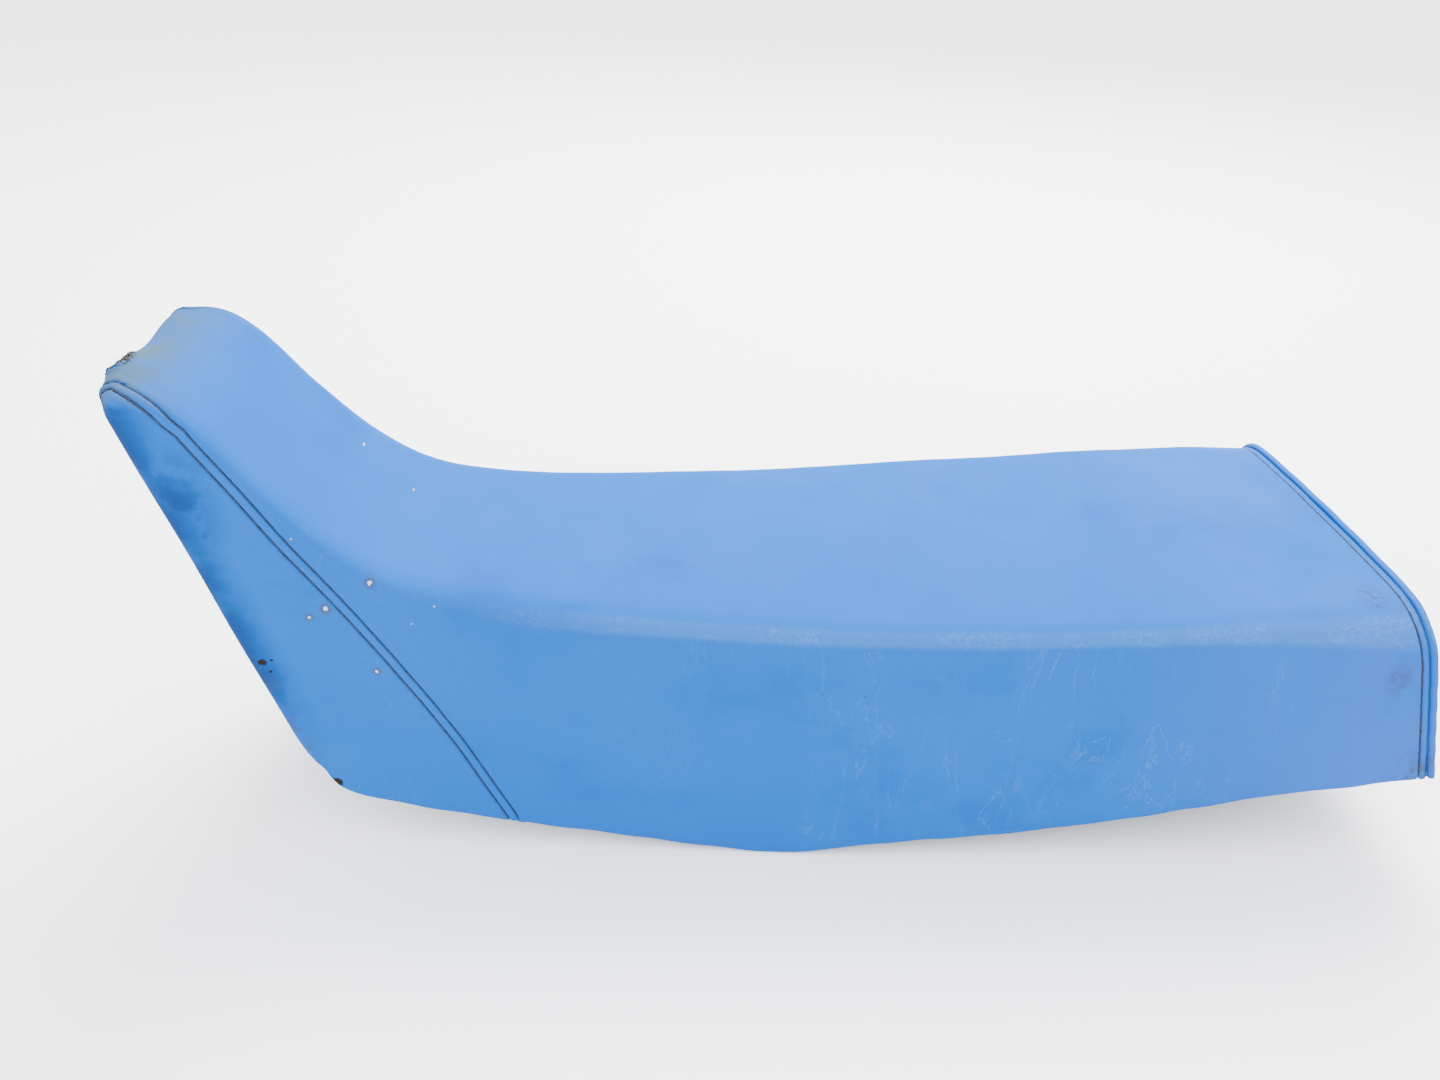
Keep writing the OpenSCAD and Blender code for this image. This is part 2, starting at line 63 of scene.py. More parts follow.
ROUND_R = [[2, 10], [60, 14], [190, 18], [270, 15], [350, 13], [430, 12], [510, 12], [590, 15],
           [650, 24], [696, 32]]
CROWN = [[2, 3], [100, 4], [190, 4.5], [270, 6.5], [350, 9], [430, 9.5], [510, 9.5], [590, 8.5],
         [650, 6], [696, 4]]
X_TOP = (2, 696)      # first and last x of the stations, at the top
X_LOW = (76, 722)     # and at the lower edge
X_MID = 360.7         # x of the frame's origin
FLOOR_Z = 0.615       # height of the floor in the tables
SKIN_T = 1.2          # thickness of the vinyl
PAN_T = 3.0           # thickness of the pan
LIP_FOAM = 13.8       # foam on the pan at the nose
P_SIDE = 0.4          # p where the side ends and the round shoulder starts
P_TOP = 0.62          # p where the shoulder ends and the top starts
ROLL_H = 3.6          # radius of the rolled lower edge
HEM_H = 20            # height of the hem inside the pan
INNER_H = 8           # height at which the foam and the inner face of the pan start
# Seam between the side panel and the main panel: share of the half arch, station
SEAM = [[0, 0.169], [0.069, 0.1635], [0.141, 0.158], [0.21, 0.147], [0.273, 0.132], [0.319, 0.112],
        [0.341, 0.089], [0.362, 0.065], [0.376, 0.051], [0.41, 0.035], [0.475, 0.0275], [0.538, 0.018],
        [0.585, 0.011], [0.622, 0.0035], [0.634, 0], [0.658, -0.05], [0.70, -0.06], [0.80, -0.08]]
# Depth of the pan under the cover at each station: below the top, inside the side, and at its edge
DECK_DEPTH = [[0, LIP_FOAM], [0.04, 24], [0.07, 38], [0.1, 45], [0.14, 51], [0.2, 60], [0.35, 68],
              [0.6, 72], [1, 74]]
SIDE_DEPTH = [[0, LIP_FOAM], [0.1, 15], [1, 16]]
EDGE_DEPTH = [[0, LIP_FOAM], [0.022, 8], [0.05, 3.4], [0.08, 3], [1, 3]]
PAN_END = 0.985       # last station of the pan's outer face
PAN_END_IN = 0.98     # and of its inner face
LIP_V = 0.042         # the nose lip takes v from 0 down to -LIP_V
LIP_R = (LIP_FOAM + PAN_T + SKIN_T) / 2
CORNER_REACH = 0.25   # how far the lip stands out at the lower corner, as a share of its radius


def curve(table, x):
    """Smooth cubic through the points of a table."""
    t = np.array(table, float)
    n = len(t)
    x = np.asarray(x, float)
    i = np.clip(np.searchsorted(t[:, 0], x, "right") - 1, 0, n - 2)
    k = np.arange(n)
    a = np.maximum(k - 1, 0)
    b = np.minimum(k + 1, n - 1)
    m = (t[b, 1] - t[a, 1]) / (t[b, 0] - t[a, 0])
    h = t[i + 1, 0] - t[i, 0]
    u = (x - t[i, 0]) / h
    return ((2 * u**3 - 3 * u**2 + 1) * t[i, 1] + (u**3 - 2 * u**2 + u) * h * m[i]
            + (3 * u**2 - 2 * u**3) * t[i + 1, 1] + (u**3 - u**2) * h * m[i + 1])


def lookup(table, x):
    """Straight lines between the points of a table."""
    t = np.array(table, float)
    return np.interp(x, t[:, 0], t[:, 1])


def station(v):
    """Foot, direction, height, widths and roundings of the half arch at station v."""
    v = np.asarray(v, float)
    xt = X_TOP[0] + (X_TOP[1] - X_TOP[0]) * v
    xb = X_LOW[0] + (X_LOW[1] - X_LOW[0]) * v
    zt = curve(TOP_Z, xt)
    zb = curve(LOW_Z, xb)
    h = np.hypot(xt - xb, zt - zb)
    ex = (xt - xb) / h
    ez = (zt - zb) / h
    xa = np.maximum(xt - 2, 2)
    m = (curve(TOP_Z, xt + 2) - curve(TOP_Z, xa)) / (xt + 2 - xa)
    f = np.sqrt(1 + m**2) / (ez - m * ex)
    lean = 1 + (f - 1) * np.minimum(1, v / 0.04)
    return dict(xb=xb, zb=zb, ex=ex, ez=ez, h=h, wb=curve(LOW_W, xb), wt=curve(TOP_W, xt),
                r=curve(ROUND_R, xt), c=curve(CROWN, xt), f=lean)


def half(s, p, dt, ds, db, start, rise):
    """Point of a half arch as (y, height). The depths are below the top, inside the side at its top
    and inside the side at the lower edge."""
    h = s["h"] - dt
    wt = s["wb"] + (s["wt"] - s["wb"]) * h / s["h"] - ds
    wb = s["wb"] - db
    r = np.maximum(s["r"] - ds / 2, 5)
    yb = wt - r
    hb = h - rise * (yb / wt)**2
    sl = -2 * rise * yb / wt**2
    k = (wt - wb) / h
    hc = (hb + sl * (wb - yb)) / (1 - sl * k)
    yc = wb + k * hc
    a = 1 - r / np.hypot(yc - wb, hc)
    ay, ah = wb + (yc - wb) * a, hc * a
    q = np.clip(p / P_SIDE, 0, 1)
    sy, sh = (wb + k * start) * (1 - q) + ay * q, start * (1 - q) + ah * q
    u = np.clip((p - P_SIDE) / (P_TOP - P_SIDE), 0, 1)
    by = (1 - u)**2 * ay + 2 * u * (1 - u) * yc + u**2 * yb
    bh = (1 - u)**2 * ah + 2 * u * (1 - u) * hc + u**2 * hb
    ty = yb * (1 - (p - P_TOP) / (1 - P_TOP))
    th = h - rise * (ty / wt)**2
    y = np.where(p <= P_SIDE, sy, np.where(p <= P_TOP, by, ty))
    z = np.where(p <= P_SIDE, sh, np.where(p <= P_TOP, bh, th))
    return y, z


def at(s, y, h, side, forward=0.0):
    """From a station and a point in it to metres in the seat's frame."""
    x = s["xb"] + s["ex"] * h - s["ez"] * forward - X_MID
    z = s["zb"] + s["ez"] * h + s["ex"] * forward - FLOOR_Z
    y = np.broadcast_to(side * y, np.shape(x))
    return np.stack([x, y, z], -1) * 0.001


def by_edge(s, depth, h, side, forward=0.0):
    """Point at height h near the lower edge, at a depth inside the side."""
    return at(s, s["wb"] + (s["wt"] - s["wb"]) * h / s["h"] - depth, h, side, forward)


def nose_lip(v, p, d, side):
    """The half round lip of the nose, for v below 0. It dies away into the rounded lower corner."""
    a = np.clip(-v / LIP_V, 0, 1) * math.pi
    e = LIP_R - (LIP_R - d) * np.cos(a)
    s = station(np.zeros_like(v))
    y, h = half(s, np.clip(p, 0, 1), e, e, e, ROLL_H, s["c"])
    grow = CORNER_REACH + (1 - CORNER_REACH) * np.sqrt(1 - (1 - np.clip(p / 0.05, 0, 1)) ** 2)
    return at(s, y, h, side, (LIP_R - d) * np.sin(a) * grow)


def pan_surface(v, p, d, side):
    """Pan at depth d under its outer face."""
    v, p, side = np.broadcast_arrays(np.asarray(v, float), np.asarray(p, float), side)
    s = station(v)
    y, h = half(s, p, lookup(DECK_DEPTH, v) + d * s["f"], lookup(SIDE_DEPTH, v) + d,
                lookup(EDGE_DEPTH, v) + d, INNER_H, s["c"] * np.maximum(0, 1 - v / 0.1))
    return at(s, y, h, side)


def roll_profile(t, r, width):
    """Depth and height of the rolled lower edge at t from 0 to 1: a quarter turn of radius r, a flat,
    a second quarter turn, then up inside."""
    a1 = np.clip(t / 0.25, 0, 1) * math.pi / 2
    flat = np.clip((t - 0.25) / 0.1, 0, 1) * (width - 2 * ROLL_H)
    a2 = np.clip((t - 0.35) / 0.25, 0, 1) * math.pi / 2
    rise = np.clip((t - 0.6) / 0.4, 0, 1) * (HEM_H - ROLL_H)
    inside = t > 0.35
    depth = np.where(inside, width - ROLL_H + r * np.sin(a2), ROLL_H - r * np.cos(a1) + flat)
    height = np.where(inside, ROLL_H - r * np.cos(a2) + rise, ROLL_H - r * np.sin(a1))
    return depth, height


def rolled_edge(v, p, d, side):
    """The rolled lower edge and the hem inside it, for p below 0."""
    s = station(v)
    depth, h = roll_profile(np.clip(-p, 0, 1), ROLL_H - d, lookup(EDGE_DEPTH, v) + PAN_T + SKIN_T)
    return by_edge(s, depth, h, side)


def lower_corner(v, p, d, side):
    """The rounded lower corner of the nose, where the lip turns into the rolled edge."""
    s = station(np.zeros_like(v))
    lip = np.clip(-v / LIP_V, 0, 1)
    roll = np.clip(np.clip(-p, 0, 1) / 0.6, 0, 1)
    rho = np.maximum(lip, roll)
    turn = np.where(lip >= roll, 0.5 * roll / np.maximum(lip, 1e-9), 1 - 0.5 * lip / np.maximum(roll, 1e-9))
    rolled, height = roll_profile(0.6 * rho, ROLL_H - d, LIP_FOAM + PAN_T + SKIN_T)
    depth = (1 - turn) * (LIP_R - (LIP_R - d) * np.cos(math.pi * rho)) + turn * rolled
    h = ROLL_H - (ROLL_H - height) * np.sin(turn * math.pi / 2)
    forward = CORNER_REACH * (LIP_R - d) * np.sin(math.pi * rho) * np.cos(turn * math.pi / 2)
    return by_edge(s, depth, h, side, forward)


def surface(v, p, d, side):
    """Cover at depth d. v below 0 runs round the nose lip and back under it; p below 0 runs round the
    rolled lower edge and up inside it."""
    v, p, d, side = np.broadcast_arrays(np.asarray(v, float), np.asarray(p, float), float(d), side)
    within = np.clip(v, 0, 1)
    s = station(within)
    y, h = half(s, np.clip(p, 0, 1), d * s["f"], d, d, ROLL_H, s["c"])
    out = at(s, y, h, side)
    out = np.where((v < 0)[..., None], nose_lip(v, p, d, side), out)
    hem = pan_surface(np.clip(-(v + LIP_V), 0, 1), np.clip(p, 0, 1), PAN_T + SKIN_T - d, side)
    out = np.where((v < -LIP_V)[..., None], hem, out)
    out = np.where((p < 0)[..., None], rolled_edge(within, p, d, side), out)
    return np.where(((p < 0) & (v < 0))[..., None], lower_corner(v, p, d, side), out)


def low_point(v, depth, h, side):
    """Point at station v near the lower edge."""
    v, depth, h, side = np.broadcast_arrays(np.asarray(v, float), depth, h, side)
    return by_edge(station(v), depth, h, side)


# ---------------------------------------------------------------- mesh helpers
MERGE = 0.000004


def unit(a):
    """Vectors at length 1."""
    return a / np.maximum(np.linalg.norm(a, axis=-1, keepdims=True), 1e-12)


def normals(grid):
    """Outward normals of a grid whose rows run across the seat and columns to the rear."""
    di = np.gradient(grid, axis=0)
    dj = np.gradient(grid, axis=1)
    return unit(np.cross(dj, di))


def new_mesh(name, verts, faces, sharp=40):
    """Linked object with points closer than MERGE joined, smooth but for edges over sharp degrees."""
    mesh = bpy.data.meshes.new(name)
    mesh.from_pydata(verts.tolist(), [], faces)
    work = bmesh.new()
    work.from_mesh(mesh)
    bmesh.ops.remove_doubles(work, verts=work.verts, dist=MERGE)
    work.to_mesh(mesh)
    work.free()
    mesh.validate()
    mesh.polygons.foreach_set("use_smooth", [True] * len(mesh.polygons))
    mesh.set_sharp_from_angle(angle=math.radians(sharp))
    mesh.update()
    piece = bpy.data.objects.new(name, mesh)
    bpy.context.scene.collection.objects.link(piece)
    return piece


def volume(verts, faces):
    """Signed volume inside triangles and quads."""
    v = np.asarray(verts)
    total = 0.0
    for n in (3, 4):
        f = np.array([q for q in faces if len(q) == n], int)
        if len(f) == 0:
            continue
        for k in range(1, n - 1):
            total += np.einsum("ij,ij->", v[f[:, 0]], np.cross(v[f[:, k]], v[f[:, k + 1]]))
    return total / 6


def shell(name, outer, inner, keep=None, end=False, sharp=40, backing=False):
    """Closed solid between two grids (rows, columns, 3). keep marks the cells that are there. With
    end=True a wall closes it over the last column. With backing=True all but the outer face takes the
    second material."""
    nr, nc = outer.shape[:2]
    n = nr * nc
    if keep is None:
        keep = np.ones((nr - 1, nc - 1), bool)
    idx = np.arange(n).reshape(nr, nc)
    a, b, c, d = idx[:-1, :-1], idx[:-1, 1:], idx[1:, 1:], idx[1:, :-1]
    front = np.stack([a[keep], b[keep], c[keep], d[keep]], 1)
    back = front[:, ::-1] + n
    pad = np.zeros((nr + 1, nc + 1), bool)
    pad[1:-1, 1:-1] = keep
    sides = []
    for (p, q, gone) in ((a, b, ~pad[:-2, 1:-1]), (b, c, ~pad[1:-1, 2:]), (c, d, ~pad[2:, 1:-1]),
                         (d, a, ~pad[1:-1, :-2])):
        g = keep & gone
        if end and p is b:
            g = g.copy()
            g[:, -1] = False
        sides.append(np.stack([q[g], p[g], p[g] + n, q[g] + n], 1))
    verts = np.concatenate([outer.reshape(-1, 3), inner.reshape(-1, 3)])
    faces = np.concatenate([front, back] + sides).tolist()
    if end:
        mo = (outer[0, -1] + outer[-1, -1]) / 2 + np.array([0, 0, 0.004])
        mi = (inner[0, -1] + inner[-1, -1]) / 2 + np.array([0, 0, 0.004])
        verts = np.concatenate([verts, [mo, mi]])
        last = idx[:, -1]
        for k in range(nr - 1):
            faces.append([int(last[k + 1]), int(last[k]), 2 * n])
            faces.append([int(last[k]) + n, int(last[k + 1]) + n, 2 * n + 1])
        e0, e1 = int(last[0]), int(last[-1])
        faces += [[e0, e0 + n, 2 * n + 1, 2 * n], [2 * n, 2 * n + 1, e1 + n, e1]]
    if volume(verts, faces) < 0:
        faces = [f[::-1] for f in faces]
    n_front = len(front)
    used = np.unique(np.concatenate([np.ravel(f) for f in faces]))
    new = -np.ones(len(verts), int)
    new[used] = np.arange(len(used))
    faces = [[int(new[i]) for i in f] for f in faces]
    piece = new_mesh(name, verts[used], faces, sharp)
    if backing:
        index = np.ones(len(piece.data.polygons), int)
        index[:n_front] = 0
        piece.data.polygons.foreach_set("material_index", index.tolist())
    return piece


def tube(path, up, radius, sides):
    """Vertices and faces of a round cord through path, closed at its ends, with radius per point."""
    path = np.asarray(path, float)
    t = unit(np.gradient(path, axis=0))
    side = unit(np.cross(t, np.asarray(up, float)))
    nrm = np.cross(side, t)
    ang = (np.arange(sides) * 2 * math.pi / sides)[None, :, None]
    rad = np.broadcast_to(radius, (len(path),))[:, None, None]
    v = path[:, None] + rad * (np.cos(ang) * side[:, None] + np.sin(ang) * nrm[:, None])
    faces = []
    for i in range(len(path) - 1):
        for k in range(sides):
            a, b = i * sides + k, i * sides + (k + 1) % sides
            faces.append([a, b, b + sides, a + sides])
    faces.append(list(range(sides))[::-1])
    faces.append([(len(path) - 1) * sides + k for k in range(sides)])
    return v.reshape(-1, 3), faces


def join(parts):
    """One list of vertices and one of faces from several."""
    verts, faces, n = [], [], 0
    for v, f in parts:
        verts.append(np.asarray(v))
        faces += [[i + n for i in q] for q in f]
        n += len(v)
    return np.concatenate(verts), faces


def runs(start, *stretches):
    """Values from start on, over stretches given as (end, number of values), each end once."""
    out = [[start]]
    for end, n in stretches:
        out.append(np.linspace(out[-1][-1], end, n)[1:])
    return np.concatenate(out)


def shares(side_n, shoulder_n, top_n, low=0.0):
    """Shares of the half arch from low to 1, with a number of values for each of its three parts."""
    return runs(low, (P_SIDE, side_n), (P_TOP, shoulder_n), (1, top_n))


# ---------------------------------------------------------------- seam lines
SEAM_P = np.array([q[0] for q in SEAM])
SEAM_V = np.array([q[1] for q in SEAM])


def seam_v(p):
    """Station of the seam at share p of the half arch, smoothed between its points."""
    p = np.asarray(p, float)
    width = np.interp(p, [0.58, 0.63], [0.018, 0.005])
    total = 0
    for o in np.linspace(-1, 1, 9):
        q = p + o * width
        total = total + np.interp(np.abs(q), SEAM_P, SEAM_V)
    return total / 9


def outward(v, p, side):
    """Outward normal of the cover."""
    v, p, side = np.broadcast_arrays(np.asarray(v, float), np.asarray(p, float), side)
    dv = surface(v + 0.0012, p, 0, side) - surface(v - 0.0012, p, 0, side)
    dp = surface(v, p + 0.002, 0, side) - surface(v, p - 0.002, 0, side)
    return unit(np.cross(dv, dp)) * np.where(side < 0, 1, -1)[..., None]


def seam_metric(p, side):
    """Millimetres square to the seam for one unit of v."""
    v = seam_v(p)
    ahead, behind = p + 0.004, p - 0.004
    t = unit(surface(seam_v(ahead), ahead, 0, side) - surface(seam_v(behind), behind, 0, side))
    dv = (surface(v + 0.002, p, 0, side) - surface(v - 0.002, p, 0, side)) / 0.004
    return np.linalg.norm(np.cross(dv, t), axis=-1) * 1000


metric_p = np.linspace(0.004, 0.63, 220)
metric = seam_metric(metric_p, -1)
metric = np.convolve(np.pad(metric, 8, "edge"), np.ones(17) / 17, "valid")


LIP_SPREAD = 690      # millimetres for one unit of v at the nose lip


def spread(p):
    """The metric that spaces a panel's columns: square to the seam, and along v at the nose lip."""
    t = np.clip((p - 0.57) / 0.05, 0, 1)
    t = t * t * (3 - 2 * t)
    return float(np.interp(p, metric_p, metric) * (1 - t) + LIP_SPREAD * t)


def seam_path(side, step=0.5):
    """Stations and shares along the seam at even steps in millimetres."""
    p = runs(0, (0.6, 900), (0.664, 900))
    v = seam_v(p)
    d = np.cumsum(np.linalg.norm(np.diff(surface(v, p, 0, side), axis=0), axis=1)) * 1000
    d = np.concatenate([[0], d])
    s = np.linspace(0, d[-1], int(d[-1] / step))
    return np.interp(s, d, v), np.interp(s, d, p)


def foot_of(points, v, p, side):
    """Stations and shares of the points of the cover nearest to points, from a first guess."""
    for _ in range(6):
        q = surface(v, p, 0, side)
        a = (surface(v + 0.0005, p, 0, side) - q) / 0.0005
        b = (surface(v, p + 0.0005, 0, side) - q) / 0.0005
        r = points - q
        aa, ab, bb = (a * a).sum(-1), (a * b).sum(-1), (b * b).sum(-1)
        ra, rb = (r * a).sum(-1), (r * b).sum(-1)
        det = aa * bb - ab * ab
        v = v + np.clip((bb * ra - ab * rb) / det, -0.01, 0.01)
        p = np.maximum(p + np.clip((aa * rb - ab * ra) / det, -0.02, 0.02), 0)
    return v, p


def nearest(points, line):
    """Distance in millimetres from each point to a line of points, where it is under 14 mm."""
    flat = points.reshape(-1, 3)
    out = np.full(len(flat), 1.0)
    lo, hi = line.min(0) - 0.014, line.max(0) + 0.014
    near = np.where(((flat > lo) & (flat < hi)).all(1))[0]
    for i in range(0, len(near), 4000):
        k = near[i:i + 4000]
        out[k] = np.sqrt(((flat[k][:, None] - line[None]) ** 2).sum(-1).min(1))
    return out.reshape(points.shape[:-1]) * 1000


STITCH = 2.7          # distance of each row of stitches from the seam
STITCH_PITCH = 0.0042
REAR_STITCH = 4.0     # distance of the single row from the rear edge
STAPLE_PITCH = 38.8
LENGTH = 648.0        # length of the lower edge, from v = 0 to 1
lines = {side: surface(*seam_path(side), 0, side) for side in (-1, 1)}


def seam_profile(s, inside):
    """Height of the sewn seam at distance s: a raised band between two sunk rows of stitches."""
    groove = -0.85 * np.exp(-((s - STITCH) / 0.55) ** 2)
    band = 0.55 * np.clip(1 - (s / 2.5) ** 2, 0, 1)
    puff = 0.45 * np.exp(-((s - 5.4) / 2.0) ** 2)
    step = np.where(inside, -0.5 * np.exp(-np.clip(s - STITCH, 0, 99) / 5.0) * (s > STITCH), 0)
    return groove + band + puff + step


def waves(q):
    """Slow unevenness of the foam and pull of the cover, in millimetres. q is in metres."""
    x, y, z = q[..., 0], q[..., 1], q[..., 2]
    return (0.35 * np.sin(31 * x + 9 * y + 1.3) * np.sin(26 * z + 17 * x)
            + 0.25 * np.sin(67 * x - 41 * z + 0.7) * np.sin(53 * y + 2.1)
            + 0.12 * np.sin(140 * x + 90 * z) * np.sin(120 * y + 60 * x + 0.4))


def swell(q):
    """Uneven stuffing of the nose lip: a worn bulge left of the middle and a dip beside it."""
    x, y, z = q[..., 0], q[..., 1], q[..., 2]
    edge = np.exp(-((x + 0.3625) ** 2 + (z - 0.279) ** 2) / 0.013 ** 2)
    return edge * (5.5 * np.exp(-((y + 0.034) / 0.017) ** 2) - 0.8 * np.exp(-((y - 0.004) / 0.014) ** 2)
                   + 1.5 * np.exp(-((y - 0.038) / 0.016) ** 2))


def rear_metric(p, side):
    """Millimetres along the cover for one unit of v, at the rear edge."""
    return np.linalg.norm(surface(1.0, p, 0, side) - surface(0.99, p, 0, side), axis=-1) * 1e5


def relief(v, p, side, grid, gusset):
    """Height of the cover above the plain surface, in millimetres."""
    s = nearest(grid, lines[side])
    out = seam_profile(s, gusset)
    e = (1 - v) * rear_metric(np.clip(p, 0, 1), side)
    rear = -0.75 * np.exp(-((e - REAR_STITCH) / 0.55) ** 2) + 0.8 * np.clip(1 - ((e - 1.4) / 1.9) ** 2, 0, 1)
    rear += 0.3 * np.exp(-((e - 7) / 2.2) ** 2)
    out = out + rear
    # scallops where the hem is pulled over the rim at each staple
    edge = np.exp(-np.clip(p, 0, 1) * 540 / 16.0) * (p > -0.3)
    out = out - 0.35 * edge * (0.5 + 0.5 * np.cos(2 * math.pi * v * LENGTH / STAPLE_PITCH))
    flat = np.clip(p + 0.6, 0, 0.3) / 0.3 * np.clip((v + 0.05) / 0.04, 0, 1)
    out = out + waves(grid) * flat + swell(grid)
    # the seam's folded end stands out at the corner of the nose
    out = out + 1.6 * np.exp(-(s / 4.5) ** 2) * np.exp(-((v + 0.014) / 0.012) ** 2) * (p > 0.4)
    return out


# ---------------------------------------------------------------- cover panels
# Spacing of the columns in millimetres: close together by the seam, wider and wider over the middle,
# then these distances from the rear edge
near_d = np.cumsum([0, 0.35, 0.35, 0.35, 0.35, 0.35, 0.35, 0.3, 0.3, 0.3, 0.35, 0.35, 0.45])
spacing = np.concatenate([np.full(90, 1.0), 1.04 ** np.arange(40), np.full(95, 4.6)])
mid_share = np.cumsum(spacing) / spacing.sum()
REAR = np.array([15, 11, 8, 6.5, 5.4, 4.8, 4.4, 4.0, 3.6, 3.2, 2.8, 2.4, 2.0, 1.6, 1.2, 0.8, 0.4, 0])
P_SEAM_END = 0.83     # the seam's line in v stays level beyond this share
P_GUSSET_END = 0.672


def main_columns(v0, m):
    """Stations of one row of the main panel, from its start v0 to the rear edge."""
    first = v0 + near_d / m
    last = 1 - REAR / LENGTH
    fill = first[-1] + (last[0] - first[-1]) * mid_share[:-1]
    return np.concatenate([first, fill, last])


roll_p = -np.linspace(1, 0, 25)[:-1]
side_p = runs(0, (0.25, 46), (0.42, 62), (P_TOP, 42), (0.71, 36))
left_p = np.concatenate([roll_p, side_p, runs(0.71, (0.85, 40), (1, 14))[1:]])
right_p = np.concatenate([roll_p, side_p, runs(0.71, (1, 26))[1:-1]])


def start_v(p):
    """Station at which the main panel starts."""
    return float(seam_v(np.clip(p, 0, P_SEAM_END)))


def main_grid():
    """Stations, shares and sides of the main panel, in rows from the left hem to the right one."""
    rows_v, rows_p, rows_side = [], [], []
    for side, row_shares in ((-1, left_p), (1, right_p[::-1])):
        for p in row_shares:
            rows_v.append(main_columns(start_v(p), spread(p)))
            rows_p.append(np.full(len(rows_v[-1]), p))
            rows_side.append(np.full(len(rows_v[-1]), side))
    return np.array(rows_v), np.array(rows_p), np.array(rows_side)


def dressed(v, p, side, gusset):
    """Outer and inner grids of a panel, with its relief."""
    flat = surface(v, p, 0, side)
    h = np.zeros(v.shape)
    for s in (-1, 1):
        rows = np.where(side[:, 0] == s)[0]
        if len(rows):
            h[rows] = relief(v[rows], p[rows], s, flat[rows], gusset)
    rise = outward(v, p, side) * h[..., None] * 0.001
    return flat + rise, surface(v, p, SKIN_T, side) + rise


# The worn hole in millimetres across the seat and along the arc of the lip
TEAR_Y = -30.0
TEAR_ARC = -2.6
TEAR_AXES = (9.8, 3.9)
ARC = LIP_V / (math.pi * LIP_R)    # v for each millimetre of the arc


def torn(y, arc):
    """Field of the worn hole at the front of the nose: below 1 inside it."""
    wob = 0.09 * np.sin(y * 1.7) + 0.06 * np.sin(y * 4.1 + 1) + 0.07 * np.sin(arc * 2.3)
    return np.sqrt(((y - TEAR_Y) / TEAR_AXES[0]) ** 2 + ((arc - TEAR_ARC) / TEAR_AXES[1]) ** 2) * (1 + wob)


def cut_hole(v, p, side):
    """Move the points on the rim of the hole onto its outline. Gives the new v and p, the cells inside
    the hole, the points on its rim, and the field and the height of the curl at each point."""
    y = surface(v, p, 0, side)[..., 1] * 1000
    arc = v / ARC
    field = np.where((v < 0.006) & (v > -LIP_V) & (side < 0) & (p > P_TOP), torn(y, arc), 9)
    gone = 0.25 * (field[:-1, :-1] + field[1:, :-1] + field[:-1, 1:] + field[1:, 1:]) < 1
    touch = np.zeros(field.shape, int)
    kept = np.zeros(field.shape, int)
    for i in (0, 1):
        for j in (0, 1):
            touch[i:i + gone.shape[0], j:j + gone.shape[1]] += gone
            kept[i:i + gone.shape[0], j:j + gone.shape[1]] += ~gone
    rim = (touch > 0) & (kept > 0)
    rim_y = TEAR_Y + (y - TEAR_Y) / field
    rim_v = (TEAR_ARC + (arc - TEAR_ARC) / field) * ARC
    p = np.where(rim, 1 - (1 - p) * rim_y / np.where(np.abs(y) > 1, y, 1), p)
    v = np.where(rim, rim_v, v)
    curl = np.exp(-((field - 1.0) / 0.22) ** 2) * (0.7 + 0.4 * np.sin(y * 2.7))
    return v, p, gone, rim, curl


def loose_fibres(points, outwards):
    """Loose fibres of the backing cloth round the hole, each from a point of its rim inwards."""
    rng = np.random.default_rng(7)
    centre = points.mean(0)
    fibres = []
    for _ in range(150):
        i = int(rng.integers(len(points)))
        q, m = points[i], outwards[i]
        inward = unit(centre - q + rng.normal(0, 0.0025, 3))
        length = 0.001 + 0.0028 * rng.random()
        u = np.linspace(-0.3, 1, 6)[:, None]
        bend = rng.normal(0, 0.0006, 3)
        line = q + inward * length * u + m * (0.0004 - 0.0012 * u**2) + bend * u**2
        fibres.append(tube(line, m, 0.00009 + 0.00006 * rng.random(), 5))
    return join(fibres)


main_v, main_p, main_side = main_grid()
main_v, main_p, gone, rim, curl = cut_hole(main_v, main_p, main_side)
outer, inner = dressed(main_v, main_p, main_side, False)
main_out = outward(main_v, main_p, main_side)
outer = outer + main_out * (curl * 0.001)[..., None]
inner = inner + main_out * (curl * 0.001)[..., None]
main_panel = shell("cover_main", outer, inner, keep=~gone, backing=True)
tear_fibres = new_mesh("tear_fibres", *loose_fibres((outer + inner)[rim] / 2, main_out[rim]), 60)


def gusset_grid():
    """Stations and shares of a side panel, in rows from its hem up to the nose lip."""
    row_shares = np.concatenate([roll_p, side_p[side_p < P_GUSSET_END]])
    begin = [[-1, 0], [-0.61, 0], [-0.6, -LIP_V], [0, -LIP_V], [0.06, -0.08]]
    rows = []
    for p in row_shares:
        last = start_v(p)
        first = min(float(lookup(begin, p)), last - 0.0005)
        span = last - first
        by_seam = np.minimum(near_d[::-1] / spread(p), span * 0.8 * near_d[::-1] / near_d[-1])
        rest = np.linspace(first, last - by_seam[0], 118)[:-1]
        rows.append(np.concatenate([rest, last - by_seam]))
    v = np.array(rows)
    return v, np.repeat(row_shares[:, None], v.shape[1], 1)


gusset_v, gusset_p = gusset_grid()
gussets = []
for side, name in ((-1, "cover_gusset_left"), (1, "cover_gusset_right")):
    faces = dressed(gusset_v, gusset_p, np.full(gusset_v.shape, side), True)
    gussets.append(shell(name, *(face[::-side] for face in faces), backing=True))

